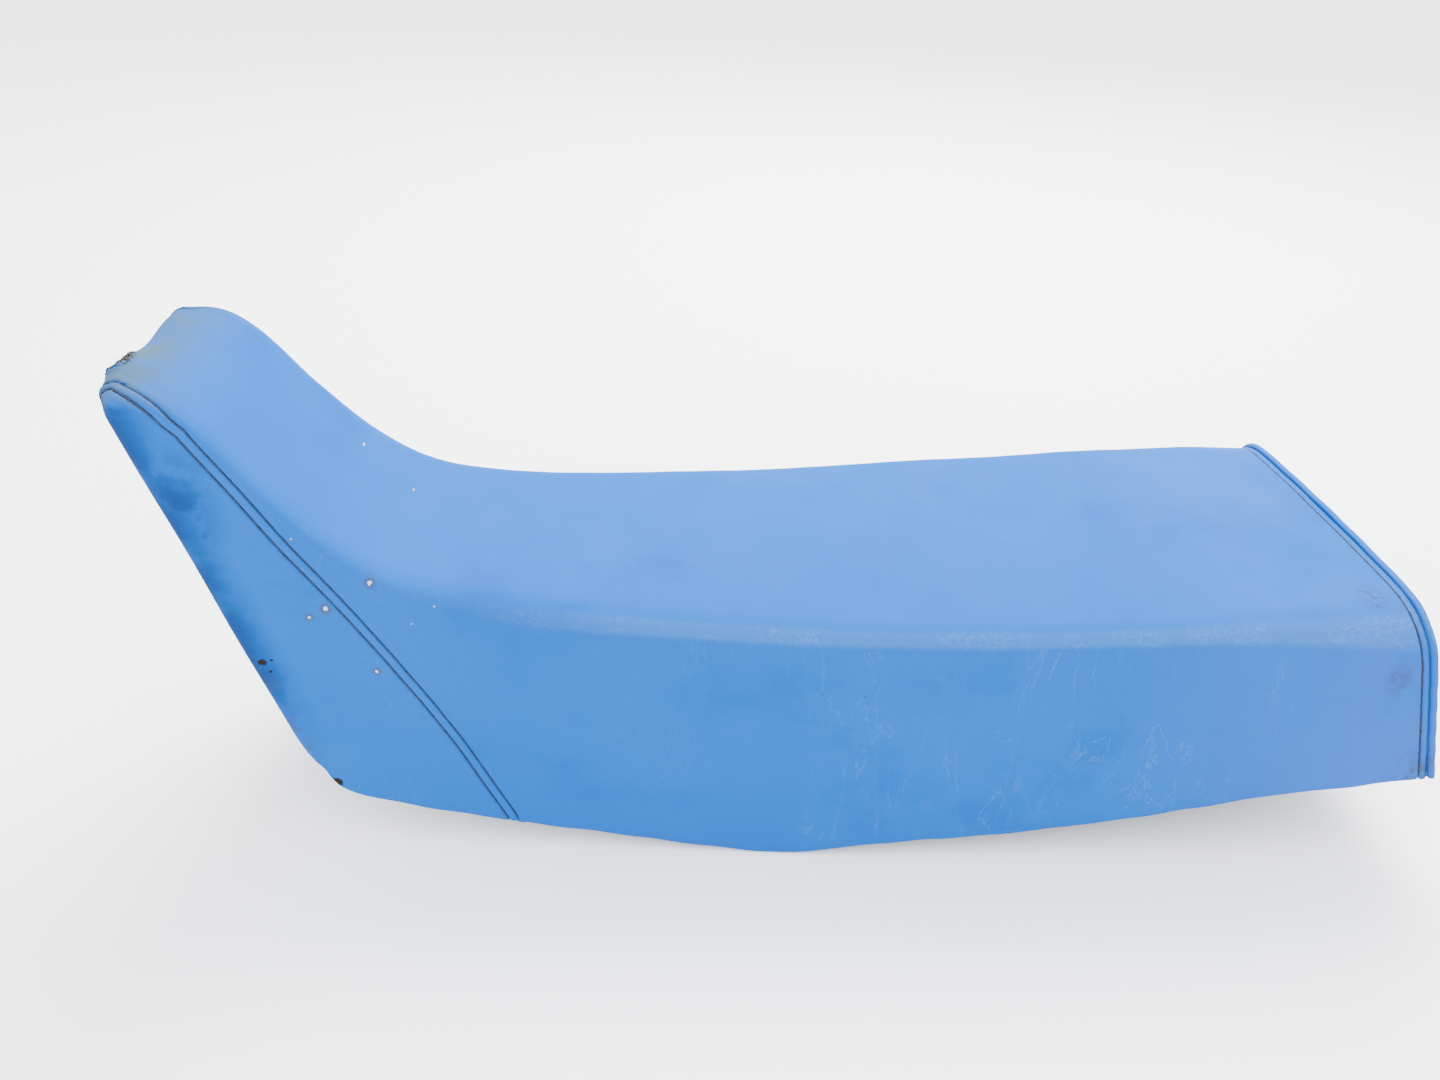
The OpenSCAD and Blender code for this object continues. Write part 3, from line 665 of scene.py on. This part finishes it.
# Rear panel: the arch at the last station, its foot, and the directions up it and out of it
rear_end = station(np.array(1.0))
n_rear = unit(np.array([float(rear_end["ez"]), 0, -float(rear_end["ex"])]))
up_rear = unit(np.array([float(rear_end["ex"]), 0, float(rear_end["ez"])]))
arch_p = shares(40, 30, 24)
ring = np.concatenate([surface(1.0, arch_p, 0, -1), surface(1.0, arch_p[:-1][::-1], 0, 1)])
foot = low_point(1.0, 0.0, 0.0, 0.0) * [1, 0, 1]


def rear_sheet(back):
    """Grid of the rear panel, bulged by the foam: columns across the seat, rows from the hem up to the
    arch. back moves it rearwards, in metres."""
    half_width = float(rear_end["wb"])
    arch_y, arch_h = (ring - foot)[:, 1] * 1000, ((ring - foot) @ up_rear) * 1000
    order = np.argsort(arch_y)
    up = np.concatenate([np.linspace(0, 0.9, 26), 1 - 0.1 * (1 - np.linspace(0, 1, 9)[1:]) ** 1.5])
    columns = []
    for t in -np.cos(np.linspace(0, math.pi, 121)) * 0.9985:
        y = t * half_width
        top = float(np.interp(y, arch_y[order], arch_h[order]))
        low = 0.6 + 7.5 * max(0, (abs(t) - 0.93) / 0.07) ** 2
        column = []
        for f in up:
            edge = min(f * (top - low), (1 - f) * (top - low), (1 - abs(t)) * half_width * 1.2)
            bulge = 5.0 * (1 - math.exp(-edge / 22.0)) + 0.4 * math.sin(0.05 * y + 1) * min(edge / 20, 1)
            bulge += 0.5 * math.exp(-((edge - 5.5) / 1.8) ** 2)
            column.append(foot + up_rear * (low + (top - low) * f) * 0.001 + np.array([0, y * 0.001, 0])
                          + n_rear * (bulge * 0.001 + back))
        columns.append(column)
    return np.array(columns)


rear = shell("cover_rear", rear_sheet(0.0014), rear_sheet(0.0002))

# Hem of the rear panel, turned under the rear wall of the pan and up inside it: [rearward, up]
HEM_Y = np.linspace(-0.116, 0.116, 60)
HEM_OUT = [(0.6, 0.9), (-1, 0.3), (-3, 0), (-8, -0.1), (-12.5, 0.2), (-14.2, 1.4), (-14.9, 3.5),
           (-15.0, 10), (-15.0, 20)]
HEM_IN = [(0.3, 2.1), (-1, 1.5), (-3, 1.2), (-8, 1.1), (-12, 1.4), (-13.2, 2.4), (-13.7, 4),
          (-13.8, 10), (-13.8, 20)]


def hem_grid(profile):
    """A profile carried across the seat, with a slight wave in its lower part."""
    g = np.zeros((len(HEM_Y), len(profile), 3))
    for j, (rearward, up) in enumerate(profile):
        g[:, j] = foot + n_rear * rearward * 0.001 + up_rear * up * 0.001
        g[:, j, 1] = HEM_Y
        g[:, j, 2] += 0.0003 * np.sin(HEM_Y * 190) * (j < 5)
    return g


rear_hem = shell("cover_rear_hem", hem_grid(HEM_OUT), hem_grid(HEM_IN))

# ---------------------------------------------------------------- welt and threads
def rear_ring(off_side, off_back):
    """Points round the rear arch, moved outwards and rearwards by millimetres, and the way out."""
    p = shares(140, 70, 70)
    q = np.concatenate([surface(1.0, p, 0, -1), surface(1.0, p[:-1][::-1], 0, 1)])
    out = unit(np.cross(n_rear, unit(np.gradient(q, axis=0))))
    out[((q - q.mean(0)) * out).sum(-1) < 0] *= -1
    return q + out * off_side * 0.001 + n_rear * off_back * 0.001, out


welt_path, welt_out = rear_ring(1.1, 2.3)
welt_path = welt_path + n_rear * (0.00015 * np.sin(np.arange(len(welt_path)) * 0.21))[:, None]
welt = new_mesh("welt_rear", *tube(welt_path, welt_out, 0.00195, 14))


def stitches(path, up, radius):
    """Lockstitches along a path: each thread rises out of one needle hole and dives into the next."""
    d = np.concatenate([[0], np.cumsum(np.linalg.norm(np.diff(path, axis=0), axis=1))])
    parts = []

    def point(s):
        return np.stack([np.interp(s, d, path[:, k]) for k in range(3)], -1)

    def normal(s):
        return unit(np.stack([np.interp(s, d, up[:, k]) for k in range(3)], -1))

    for k in range(int(d[-1] / STITCH_PITCH)):
        s = np.linspace((k + 0.06) * STITCH_PITCH, (k + 0.94) * STITCH_PITCH, 9)
        u = np.linspace(-1, 1, 9)
        q, m = point(s), normal(s)
        t = unit(point(s + 1e-4) - point(s - 1e-4))
        wander = 0.00012 * math.sin(k * 2.4) * (1 - u**2) + 0.0001 * np.sin(k * 1.7)
        rise = 0.00055 - 0.001 * u**4
        q = q + m * rise[:, None] + np.cross(m, t) * wander[:, None]
        parts.append(tube(q, m, radius * (1 - 0.15 * u**4), 6))
        # the lock of the stitch, pulled into its needle hole
        s = k * STITCH_PITCH + np.array([-0.0008, -0.0004, 0.0004, 0.0008])
        q, m = point(s), normal(s)
        parts.append(tube(q + m * 0.0001, m, np.array([0.0003, 0.00078, 0.00078, 0.0003]), 8))
    return parts


def seam_row(side, off):
    """Path of the row of stitches that runs off millimetres behind the seam, with its normals."""
    v, p = seam_path(side)
    q = surface(v, p, 0, side)
    t = unit(np.gradient(q, axis=0))
    across_seam = unit(np.cross(outward(v, p, side), t))
    rearward = surface(v + 0.002, p, 0, side) - q
    across_seam = across_seam * np.sign((across_seam * rearward).sum(-1))[:, None]
    v, p = foot_of(q + across_seam * off * 0.001, v, p, side)
    q = surface(v, p, 0, side)
    n = outward(v, p, side)
    return q + n * (relief(v, p, side, q, off < 0) * 0.001)[:, None], n


def rear_row(side):
    """Path of the row of stitches ahead of the rear edge, with its normals."""
    p = shares(200, 60, 60, low=0.004)
    v = 1 - REAR_STITCH / rear_metric(p, side)
    q = surface(v, p, 0, side)
    du = q - surface(v - 0.004, p, 0, side)
    dp = surface(v, np.clip(p + 0.004, 0, 1), 0, side) - surface(v, np.clip(p - 0.004, 0, 1), 0, side)
    n = -side * unit(np.cross(du, dp))
    return q + n * ((waves(q) - 0.75) * 0.001)[:, None], n


threads = {}
for side, name in ((-1, "thread_left"), (1, "thread_right")):
    parts = []
    for off, radius in ((STITCH, 0.00042), (-STITCH, 0.00052)):
        parts += stitches(*seam_row(side, off), radius)
    threads[side] = new_mesh(name, *join(parts), 60)

left_row, left_n = rear_row(-1)
right_row, right_n = rear_row(1)
rear_path = np.concatenate([left_row, right_row[:-1][::-1]])
rear_n = np.concatenate([left_n, right_n[:-1][::-1]])
thread_rear = new_mesh("thread_rear", *join(stitches(rear_path, rear_n, 0.00047)), 60)

# ---------------------------------------------------------------- foam and pan
FOAM_DEPTH = 2.4      # the foam starts this far under the cover's outer face
core_p = shares(30, 14, 14)
core_v = runs(0, (0.2, 60), (1, 90))


def across(half_grid):
    """Both halves of a grid, from the left edge to the right one."""
    return np.concatenate([half_grid(core_p, -1), half_grid(core_p[:-1][::-1], 1)])


def foam_outer(p, side):
    """Outer face of the foam: round the lip, then back under the cover."""
    nose = station(np.zeros(1))
    rows = []
    for turn in np.radians(np.linspace(180, 12, 14)):
        e = LIP_R - (LIP_R - FOAM_DEPTH) * math.cos(turn)
        y, h = half(nose, p, e, e, e, INNER_H, nose["c"])
        reach = (LIP_R - FOAM_DEPTH) * (1 - 0.45 * np.exp(-p / 0.03))
        rows.append(at(nose, y, h, side, reach * math.sin(turn)))
    s = station(core_v[None, :])
    y, h = half(s, p[:, None], FOAM_DEPTH * s["f"], FOAM_DEPTH, FOAM_DEPTH, INNER_H, s["c"])
    return np.concatenate([np.stack(rows, 1), at(s, y, h, side)], 1)


def foam_inner(p, side):
    """Inner face of the foam: up the front of the pan, then back over it."""
    nose = station(np.zeros(1))
    rows = []
    for k in range(14):
        e = LIP_FOAM + PAN_T - 0.4 - 0.19 * k
        y, h = half(nose, p, e, e, e, INNER_H + 0.3, nose["c"])
        rows.append(at(nose, y, h, side, 0.35 + 0.03 * k * (13 - k) / 6))
    return np.concatenate([np.stack(rows, 1), pan_surface(core_v[None, :] * PAN_END, p[:, None], 0, side)], 1)


foam_skin = across(foam_outer)
foam_skin = foam_skin + normals(foam_skin) * (swell(foam_skin) * 0.001)[..., None]
foam = shell("foam", foam_skin, across(foam_inner), end=True)


def pan_half(p, side, v, low, d):
    """Half of a face of the pan: its rim through the points of low, as (depth, height), then the arch."""
    rim_rows = np.concatenate([low_point(v, depth, h, side) for depth, h in low], 0)
    arch = pan_surface(v, p[:, None], d, side)
    return np.concatenate([rim_rows, arch] if side < 0 else [arch, rim_rows[::-1]], 0)


def pan_outer(p, side):
    """Outer face of the pan, with its rounded lower rim."""
    v = core_v[None, :] * PAN_END
    e = lookup(EDGE_DEPTH, v)
    return pan_half(p, side, v, ((e + 2.8, 1.3), (e + 0.6, 1.2), (e - 0.9, 1.8), (e - 1.7, ROLL_H),
                                 (e - 1.7, 7.0), (e - 1.2, 7.8)), 0)


def pan_inner(p, side):
    """Inner face of the pan."""
    v = core_v[None, :] * PAN_END_IN
    e = lookup(EDGE_DEPTH, v) + PAN_T
    return pan_half(p, side, v, [(e, h) for h in (3, 4, 5, 6, 7, 7.5)], PAN_T)


pan = shell("pan", across(pan_outer), across(pan_inner), end=True)

# ---------------------------------------------------------------- materials
def material(name):
    """New node material with a Principled shader: the material, its tree and the shader."""
    m = bpy.data.materials.new(name)
    m.use_nodes = True
    nodes = m.node_tree.nodes
    nodes.clear()
    out = nodes.new("ShaderNodeOutputMaterial")
    bsdf = nodes.new("ShaderNodeBsdfPrincipled")
    m.node_tree.links.new(bsdf.outputs[0], out.inputs[0])
    return m, m.node_tree, bsdf


class Graph:
    """Short forms for the nodes of one material. Each takes sockets or numbers and gives a socket."""

    def __init__(self, tree):
        self.tree = tree
        self.coord = tree.nodes.new("ShaderNodeTexCoord").outputs["Object"]

    def put(self, socket, value):
        """Link a socket, or set a constant."""
        if isinstance(value, bpy.types.NodeSocket):
            self.tree.links.new(value, socket)
        else:
            socket.default_value = value

    def node(self, kind, *values, **named):
        """New node with its first inputs filled in order, and others by name."""
        n = self.tree.nodes.new(kind)
        for socket, value in zip(n.inputs, values):
            self.put(socket, value)
        for name, value in named.items():
            self.put(n.inputs[name], value)
        return n

    def math(self, op, a, b=0.0, c=0.0):
        n = self.node("ShaderNodeMath", a, b, c)
        n.operation = op
        return n.outputs[0]

    def mul(self, a, *more):
        for b in more:
            a = self.math("MULTIPLY", a, b)
        return a

    def most(self, a, *more):
        for b in more:
            a = self.math("MAXIMUM", a, b)
        return a

    def noise(self, scale, detail=3.0, rough=0.55, place=None, warp=0.0):
        return self.node("ShaderNodeTexNoise", place or self.coord, Scale=scale, Detail=detail,
                         Roughness=rough, Distortion=warp).outputs["Fac"]

    def voronoi(self, scale, feature="F1", place=None):
        n = self.node("ShaderNodeTexVoronoi", place or self.coord, Scale=scale)
        n.feature = feature
        return n.outputs["Distance"]

    def ramp(self, value, low, high, a=0.0, b=1.0):
        """a where value is low, b where it is high, and smooth between."""
        n = self.node("ShaderNodeMapRange", value, low, high, a, b)
        n.interpolation_type = "SMOOTHSTEP"
        return n.outputs[0]

    def mix(self, share, a, b):
        """Colour a where share is 0, and b where it is 1."""
        n = self.tree.nodes.new("ShaderNodeMix")
        n.data_type = "RGBA"
        self.put(n.inputs[0], share)
        for k, colour in ((6, a), (7, b)):
            self.put(n.inputs[k], (*colour, 1) if isinstance(colour, tuple) else colour)
        return n.outputs[2]

    def vector(self, op, a, b=(0, 0, 0), c=(0, 0, 0)):
        n = self.node("ShaderNodeVectorMath", a, b, c)
        n.operation = op
        return n.outputs

    def near(self, centre, scale=(1, 1, 1)):
        """Distance in metres from a point, with each axis stretched by scale."""
        away = self.vector("SUBTRACT", self.coord, centre)[0]
        return self.vector("LENGTH", self.vector("MULTIPLY", away, scale)[0])["Value"]

    def patch(self, centre, scale, outer, inner, noise, low, high):
        """Ragged patch round a point: whole within inner, gone beyond outer."""
        ragged = self.ramp(self.noise(*noise), low, high)
        return self.mul(self.ramp(self.near(centre, scale), outer, inner), ragged)

    def axes(self, vector):
        return self.node("ShaderNodeSeparateXYZ", vector).outputs

    def stretch(self, scale, turn=(0, 0, 0)):
        return self.node("ShaderNodeMapping", self.coord, Scale=scale, Rotation=turn).outputs[0]

    def warped(self, amount, scale):
        """Object coordinates pushed about by a noise."""
        push = self.node("ShaderNodeTexNoise", self.coord, Scale=scale).outputs["Color"]
        return self.vector("MULTIPLY_ADD", push, (amount,) * 3, self.coord)[0]

    def bump(self, height, strength, distance, below=None):
        """Bump over the normal of another bump, if any."""
        n = self.node("ShaderNodeBump", Height=height, Strength=strength, Distance=distance)
        if below is not None:
            self.put(n.inputs["Normal"], below)
        return n.outputs[0]


# Chips that show the white cloth: centre in metres and size. Then smaller dots, and dark pin holes.
SPECKS = [(-0.2447, -0.076, 0.1754, 1.5), (-0.2697, -0.078, 0.1604, 1.7), (-0.2787, -0.078, 0.1554, 1.1),
          (-0.2467, -0.083, 0.1214, 1.2)]
DOTS = [(-0.2817, -0.073, 0.2024), (-0.2347, 0.018, 0.1794), (-0.2647, 0.038, 0.2004),
        (-0.2197, -0.075, 0.1654), (-0.2117, -0.078, 0.1614), (-0.2247, -0.082, 0.1514)]
PIN_HOLES = [(-0.3035, -0.079, 0.1275), (-0.3050, -0.080, 0.1200), (-0.313, -0.08, 0.104),
             (-0.311, -0.08, 0.098)]


def vinyl_colour(g, x):
    """Blue with slow changes, faded towards violet at the rear."""
    blue, pale, deep = (0.0002, 0.073, 0.305), (0.0006, 0.082, 0.330), (0.0002, 0.054, 0.25)
    faded = (0.024, 0.088, 0.33)
    col = g.mix(g.ramp(g.noise(7.0, 3.0, 0.5), 0.38, 0.72, 0, 0.55), blue, pale)
    col = g.mix(g.ramp(g.noise(11.0, 4.0, 0.6, g.stretch((1, 1, 1.6))), 0.5, 0.78, 0, 0.6), col, deep)
    return g.mix(g.mul(g.ramp(x, 0.16, 0.33), g.ramp(g.noise(8.0, 3.0), 0.25, 0.6), 0.55), col, faded)


def vinyl_creases_and_highlight(g, x, up, col):
    """Chalky crackle and a painted highlight on the bend between top and side, long creases that run down
    and back over the side, and scratches in every direction: the colour over col, and the depth of the marks."""
    chalk_and_highlight, crease_tint, scratch_tint = (0.10, 0.22, 0.46), (0.05, 0.17, 0.44), (0.05, 0.17, 0.42)
    bend = g.mul(g.ramp(up, 0.30, 0.55), g.ramp(up, 0.97, 0.80), g.ramp(x, -0.22, -0.08))
    crack = g.voronoi(210.0, "DISTANCE_TO_EDGE", g.warped(0.012, 130.0))
    lines = g.mul(g.ramp(crack, 0.09, 0.02), g.ramp(g.noise(30.0, 3.0, 0.6), 0.4, 0.62))
    # painted highlight: the whole bend, picked out by how far its normal points up, is paled by 0.15, and the
    # crackle lines on it by up to 0.16 more
    col = g.mix(g.mul(bend, g.math("ADD", g.mul(lines, 0.16), 0.15)), col, chalk_and_highlight)
    side = g.mul(g.ramp(up, 0.5, 0.2), g.ramp(x, -0.06, 0.06), g.ramp(x, 0.33, 0.22))
    long = g.noise(26.0, 5.0, 0.6, g.stretch((1.6, 1.0, 0.45), (0, 0.55, 0)), 0.8)
    ridge = g.ramp(g.math("ABSOLUTE", g.math("SUBTRACT", long, 0.5)), 0.012, 0.0)
    crease = g.mul(ridge, side, g.ramp(g.noise(14.0, 2.0), 0.42, 0.62))
    col = g.mix(g.mul(crease, 0.28), col, crease_tint)
    fine = g.noise(55.0, 6.0, 0.65, g.stretch((1.0, 1.0, 0.35), (0, -0.5, 0)), 1.4)
    scratch = g.mul(g.ramp(g.math("ABSOLUTE", g.math("SUBTRACT", fine, 0.52)), 0.009, 0.0),
                    g.ramp(g.noise(19.0, 2.0), 0.52, 0.66))
    return g.mix(g.mul(scratch, 0.2), col, scratch_tint), g.most(g.mul(lines, bend), crease, scratch)


def vinyl_dirt_and_shade(g, x, z, normal, col):
    """Grime of the nose lip, painted shade on the front edge of the side panels and brown stains: the colour
    over col, and where the surface is dull."""
    grime, edge_shade_tint, brown = (0.050, 0.084, 0.094), (0.006, 0.022, 0.085), (0.045, 0.038, 0.035)
    behind = g.math("ADD", x, g.math("MULTIPLY_ADD", z, 0.317, 0.2692))    # metres behind the nose plane
    top_only = g.ramp(g.math("ABSOLUTE", normal[1]), 0.85, 0.62)
    nose = g.mul(g.ramp(behind, 0.034, 0.002), g.ramp(z, 0.236, 0.252), top_only,
                 g.ramp(g.noise(34.0, 5.0, 0.65), 0.18, 0.60))
    col = g.mix(g.mul(nose, 0.9), col, grime)
    # painted shade: the front edge of the side panels, where it faces away from the top, and a cloud on the
    # left one are darkened to navy; the same mask also makes them duller
    edge = g.mul(g.ramp(behind, 0.020, -0.006), g.ramp(normal[2], 0.6, 0.3), g.ramp(z, 0.06, 0.12),
                 g.ramp(g.noise(24.0, 4.0, 0.6), 0.25, 0.6))
    cloud = g.patch((-0.338, -0.078, 0.215), (1, 0.4, 0.55), 0.030, 0.004, (45.0, 4.0, 0.6), 0.3, 0.6)
    edge_shade = g.most(edge, cloud)
    col = g.mix(g.mul(edge_shade, 0.85), col, edge_shade_tint)
    foot_stain = g.mul(g.ramp(behind, 0.010, -0.008), g.ramp(z, 0.14, 0.08),
                       g.ramp(g.noise(90.0, 5.0, 0.7), 0.50, 0.66))
    rear_foot = g.patch((0.352, -0.128, 0.060), (1, 0.5, 1), 0.026, 0.004, (80.0, 5.0, 0.7), 0.42, 0.60)
    stain = g.patch((0.3273, -0.120, 0.1224), (1.2, 0.4, 0.8), 0.013, 0.002, (120.0, 4.0, 0.7), 0.35, 0.6)
    scuff = g.patch((0.3163, -0.089, 0.1584), (0.8, 0.6, 0.6), 0.010, 0.001, (240.0, 4.0, 0.7), 0.42, 0.6)
    return g.mix(g.mul(g.most(foot_stain, rear_foot, stain, scuff), 0.6), col, brown), g.most(nose, edge_shade)


def vinyl_damage(g, col):
    """Chips to the white cloth, each with a brown ring, the dark burn and pin holes by the front edge,
    the torn lower corner and a few stray dark specks: the colour over col, and the depth."""
    ring_tint, cloth = (0.05, 0.042, 0.035), (0.42, 0.44, 0.43)
    burnt, speck = (0.016, 0.011, 0.008), (0.012, 0.032, 0.09)
    ragged = g.mul(g.math("SUBTRACT", g.noise(420.0, 3.0, 0.7), 0.5), 0.0026)
    chips, rings = [], []
    for (cx, cy, cz, size) in SPECKS:
        d = g.math("ADD", g.near((cx, cy, cz), (1, 0.3, 1)), ragged)
        chips.append(g.ramp(d, size * 0.0007 + 0.0003, size * 0.0007 - 0.0002))
        rings.append(g.ramp(d, size * 0.0022 + 0.0012, size * 0.001))
    for centre in DOTS:
        chips.append(g.ramp(g.math("ADD", g.near(centre, (1, 0.3, 1)), ragged), 0.0007, 0.0003))
    chip = g.most(*chips)
    col = g.mix(g.mul(g.most(*rings), 0.65), col, ring_tint)
    col = g.mix(chip, col, cloth)
    burn = g.math("ADD", g.near((-0.3087, -0.079, 0.1264), (0.75, 0.3, 1)), ragged)
    spots = [g.ramp(burn, 0.0022, 0.0014)]
    for centre in PIN_HOLES:
        spots.append(g.ramp(g.near(centre, (1, 0.3, 1)), 0.0010, 0.0006))
    torn_corner = g.math("ADD", g.near((-0.2805, -0.0851, 0.0415), (0.7, 0.3, 1)), g.mul(ragged, 1.6))
    hole = g.most(*spots, g.ramp(torn_corner, 0.0036, 0.0026))
    col = g.mix(hole, col, burnt)
    cell = g.node("ShaderNodeTexVoronoi", g.coord, Scale=34)
    pick = g.node("ShaderNodeSeparateColor", cell.outputs["Color"]).outputs[0]
    stray = g.mul(g.ramp(cell.outputs["Distance"], 0.035, 0.018), g.ramp(pick, 0.80, 0.82))
    return g.mix(g.mul(stray, 0.55), col, speck), g.most(chip, hole)


def vinyl_material():
    """Worn blue vinyl with a fine grain."""
    m, tree, bsdf = material("blue_vinyl")
    g = Graph(tree)
    x, _, z = g.axes(g.coord)
    normal = g.axes(tree.nodes.new("ShaderNodeNewGeometry").outputs["Normal"])
    col = vinyl_colour(g, x)
    col, creases = vinyl_creases_and_highlight(g, x, normal[2], col)
    col, dull = vinyl_dirt_and_shade(g, x, z, normal, col)
    col, pits = vinyl_damage(g, col)
    g.put(bsdf.inputs["Base Color"], col)
    rough = g.ramp(g.noise(30.0, 3.0, 0.5), 0.2, 0.8, 0.46, 0.62)
    g.put(bsdf.inputs["Roughness"], g.math("ADD", rough, g.mul(dull, 0.15)))
    bsdf.inputs["Specular IOR Level"].default_value = 0.015
    relief_map = g.bump(g.voronoi(1100.0), 0.10, 0.0003)
    relief_map = g.bump(g.noise(240.0, 4.0, 0.6), 0.08, 0.0005, relief_map)
    relief_map = g.bump(creases, 0.25, -0.0004, relief_map)
    g.put(bsdf.inputs["Normal"], g.bump(pits, 0.8, -0.0008, relief_map))
    return m


def simple(name, base, rough, metal=0.0, scale=80.0, amount=0.2, bump=0.15, dist=0.0004, dark=None):
    """Material of one colour with darker mottling, uneven roughness and a fine bump."""
    m, tree, bsdf = material(name)
    g = Graph(tree)
    other = dark or tuple(c * 0.6 for c in base)
    n = g.noise(scale, 4.0, 0.6)
    g.put(bsdf.inputs["Base Color"], g.mix(g.ramp(n, 0.3, 0.75, 0, amount), base, other))
    uneven = g.ramp(g.noise(scale * 0.6, 3.0), 0.3, 0.7, rough * 0.85, min(rough * 1.15, 1))
    g.put(bsdf.inputs["Roughness"], uneven)
    bsdf.inputs["Metallic"].default_value = metal
    g.put(bsdf.inputs["Normal"], g.bump(g.noise(scale * 6, 3.0), bump, dist))
    return m


def foam_material():
    """Open foam, aged yellow, and dark with grime where the worn hole bares it."""
    m, tree, bsdf = material("seat_foam")
    g = Graph(tree)
    col = g.mix(g.ramp(g.noise(300.0, 4.0, 0.6), 0.3, 0.75, 0, 0.5), (0.36, 0.27, 0.13), (0.20, 0.15, 0.07))
    worn = g.patch((-0.3625, -0.030, 0.281), (1, 0.6, 1), 0.016, 0.008, (400.0, 4.0, 0.7), 0.15, 0.55)
    g.put(bsdf.inputs["Base Color"], g.mix(worn, col, (0.035, 0.026, 0.017)))
    bsdf.inputs["Roughness"].default_value = 0.95
    cells = g.bump(g.voronoi(900.0), 0.6, 0.0008)
    g.put(bsdf.inputs["Normal"], g.bump(g.noise(500.0, 3.0), 0.4, 0.001, cells))
    return m


vinyl = vinyl_material()
foam_mat = foam_material()
plastic = simple("black_plastic", (0.010, 0.010, 0.011), 0.55, scale=120, amount=0.4, bump=0.2)
thread_mat = simple("navy_thread", (0.004, 0.007, 0.022), 0.8, scale=900, amount=0.5, bump=0.6)
steel = simple("zinc_steel", (0.55, 0.56, 0.57), 0.38, 1.0, scale=60, amount=0.35, bump=0.1)
wire = simple("staple_wire", (0.6, 0.6, 0.6), 0.3, 1.0, scale=200, amount=0.3, bump=0.1)
backing_mat = simple("backing_cloth", (0.14, 0.115, 0.085), 0.95, scale=700, amount=0.8, bump=0.8,
                     dist=0.0006, dark=(0.04, 0.03, 0.02))
rubber = simple("black_rubber", (0.02, 0.02, 0.02), 0.8, scale=150, amount=0.4, bump=0.3)


def dress(piece, mat, slot, *nodes, behind=None):
    """Give a piece its material, one for its inner faces if any, and its body, and hide the CAD nodes it
    replaces. slot is not used.
    """
    piece.data.materials.clear()
    piece.data.materials.append(mat)
    if behind:
        piece.data.materials.append(behind)
    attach(piece, "root")
    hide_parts(*nodes)


for piece, node, behind in ((main_panel, "cover_main_panel", backing_mat),
                            (gussets[0], "cover_left_gusset", backing_mat),
                            (gussets[1], "cover_right_gusset", backing_mat), (rear, "cover_rear_panel", None),
                            (rear_hem, "cover_rear_panel", None), (welt, "rear_welt", None)):
    dress(piece, vinyl, "blue_vinyl", node, behind=behind)
dress(tear_fibres, backing_mat, "blue_vinyl", "cover_main_panel")
dress(threads[-1], thread_mat, "navy_thread", "seam_threads_left")
dress(threads[1], thread_mat, "navy_thread", "seam_threads_right")
dress(thread_rear, thread_mat, "navy_thread", "rear_seam_thread")
dress(foam, foam_mat, "seat_foam", "foam_core")
dress(pan, plastic, "black_plastic", "seat_pan")

looks = {"black_plastic": plastic, "navy_thread": thread_mat, "zinc_steel": steel, "staple_wire": wire,
         "black_rubber": rubber, "blue_vinyl": vinyl, "seat_foam": foam_mat}
slots = {s["node"]: s["material_slot"] for s in frame["record"]["subparts"]}
for name, node in frame["nodes"].items():
    for piece in (node if isinstance(node, (list, tuple)) else [node]):
        for slot in piece.material_slots:
            slot.material = looks[slots[name]]

# ---------------------------------------------------------------- floor, light and camera
bpy.ops.mesh.primitive_plane_add(size=14, location=(0, 2, 0))
floor = bpy.context.object
floor.name = "floor"
floor_mat = simple("floor", (0.90, 0.90, 0.89), 0.7, scale=2.0, amount=0.05, bump=0.02,
                   dark=(0.84, 0.85, 0.84))
floor.data.materials.append(floor_mat)

world = bpy.data.worlds.new("studio")
bpy.context.scene.world = world
world.use_nodes = True
world.node_tree.nodes["Background"].inputs[0].default_value = (0.93, 0.95, 1.0, 1)
world.node_tree.nodes["Background"].inputs[1].default_value = 4.1


def area(name, place, aim, size, power, colour=(1, 1, 1)):
    """Rectangular area light at place, aimed at a point."""
    data = bpy.data.lights.new(name, "AREA")
    data.shape = "RECTANGLE"
    data.size, data.size_y = size
    data.energy = power
    data.color = colour
    lamp = bpy.data.objects.new(name, data)
    bpy.context.scene.collection.objects.link(lamp)
    lamp.location = place
    lamp.rotation_euler = (Vector(aim) - Vector(place)).to_track_quat("-Z", "Y").to_euler()


area("key", (0.5, 1.3, 1.7), (0, 0, 0.1), (1.6, 1.2), 165)
area("fill", (-1.4, -1.6, 1.3), (0, 0, 0.1), (1.6, 1.2), 14, (0.92, 0.95, 1.0))

cam_data = bpy.data.cameras.new("view")
cam_data.sensor_width = 36
cam_data.lens = 28.75
cam = bpy.data.objects.new("view", cam_data)
bpy.context.scene.collection.objects.link(cam)
CAMERA_PLACE = (-0.1067, -0.599, 0.5234)
pitch, yaw, roll = (math.radians(a) for a in (31.8, 5.4, -1.67))
forward = np.array([math.sin(yaw) * math.cos(pitch), math.cos(yaw) * math.cos(pitch), -math.sin(pitch)])
level = np.array([math.cos(yaw), -math.sin(yaw), 0])
down = np.cross(forward, level)
right = math.cos(roll) * level + math.sin(roll) * down
under = -math.sin(roll) * level + math.cos(roll) * down
rows = [[right[k], -under[k], -forward[k], CAMERA_PLACE[k]] for k in range(3)]
cam.matrix_world = Matrix(rows + [[0, 0, 0, 1]])
bpy.context.scene.camera = cam
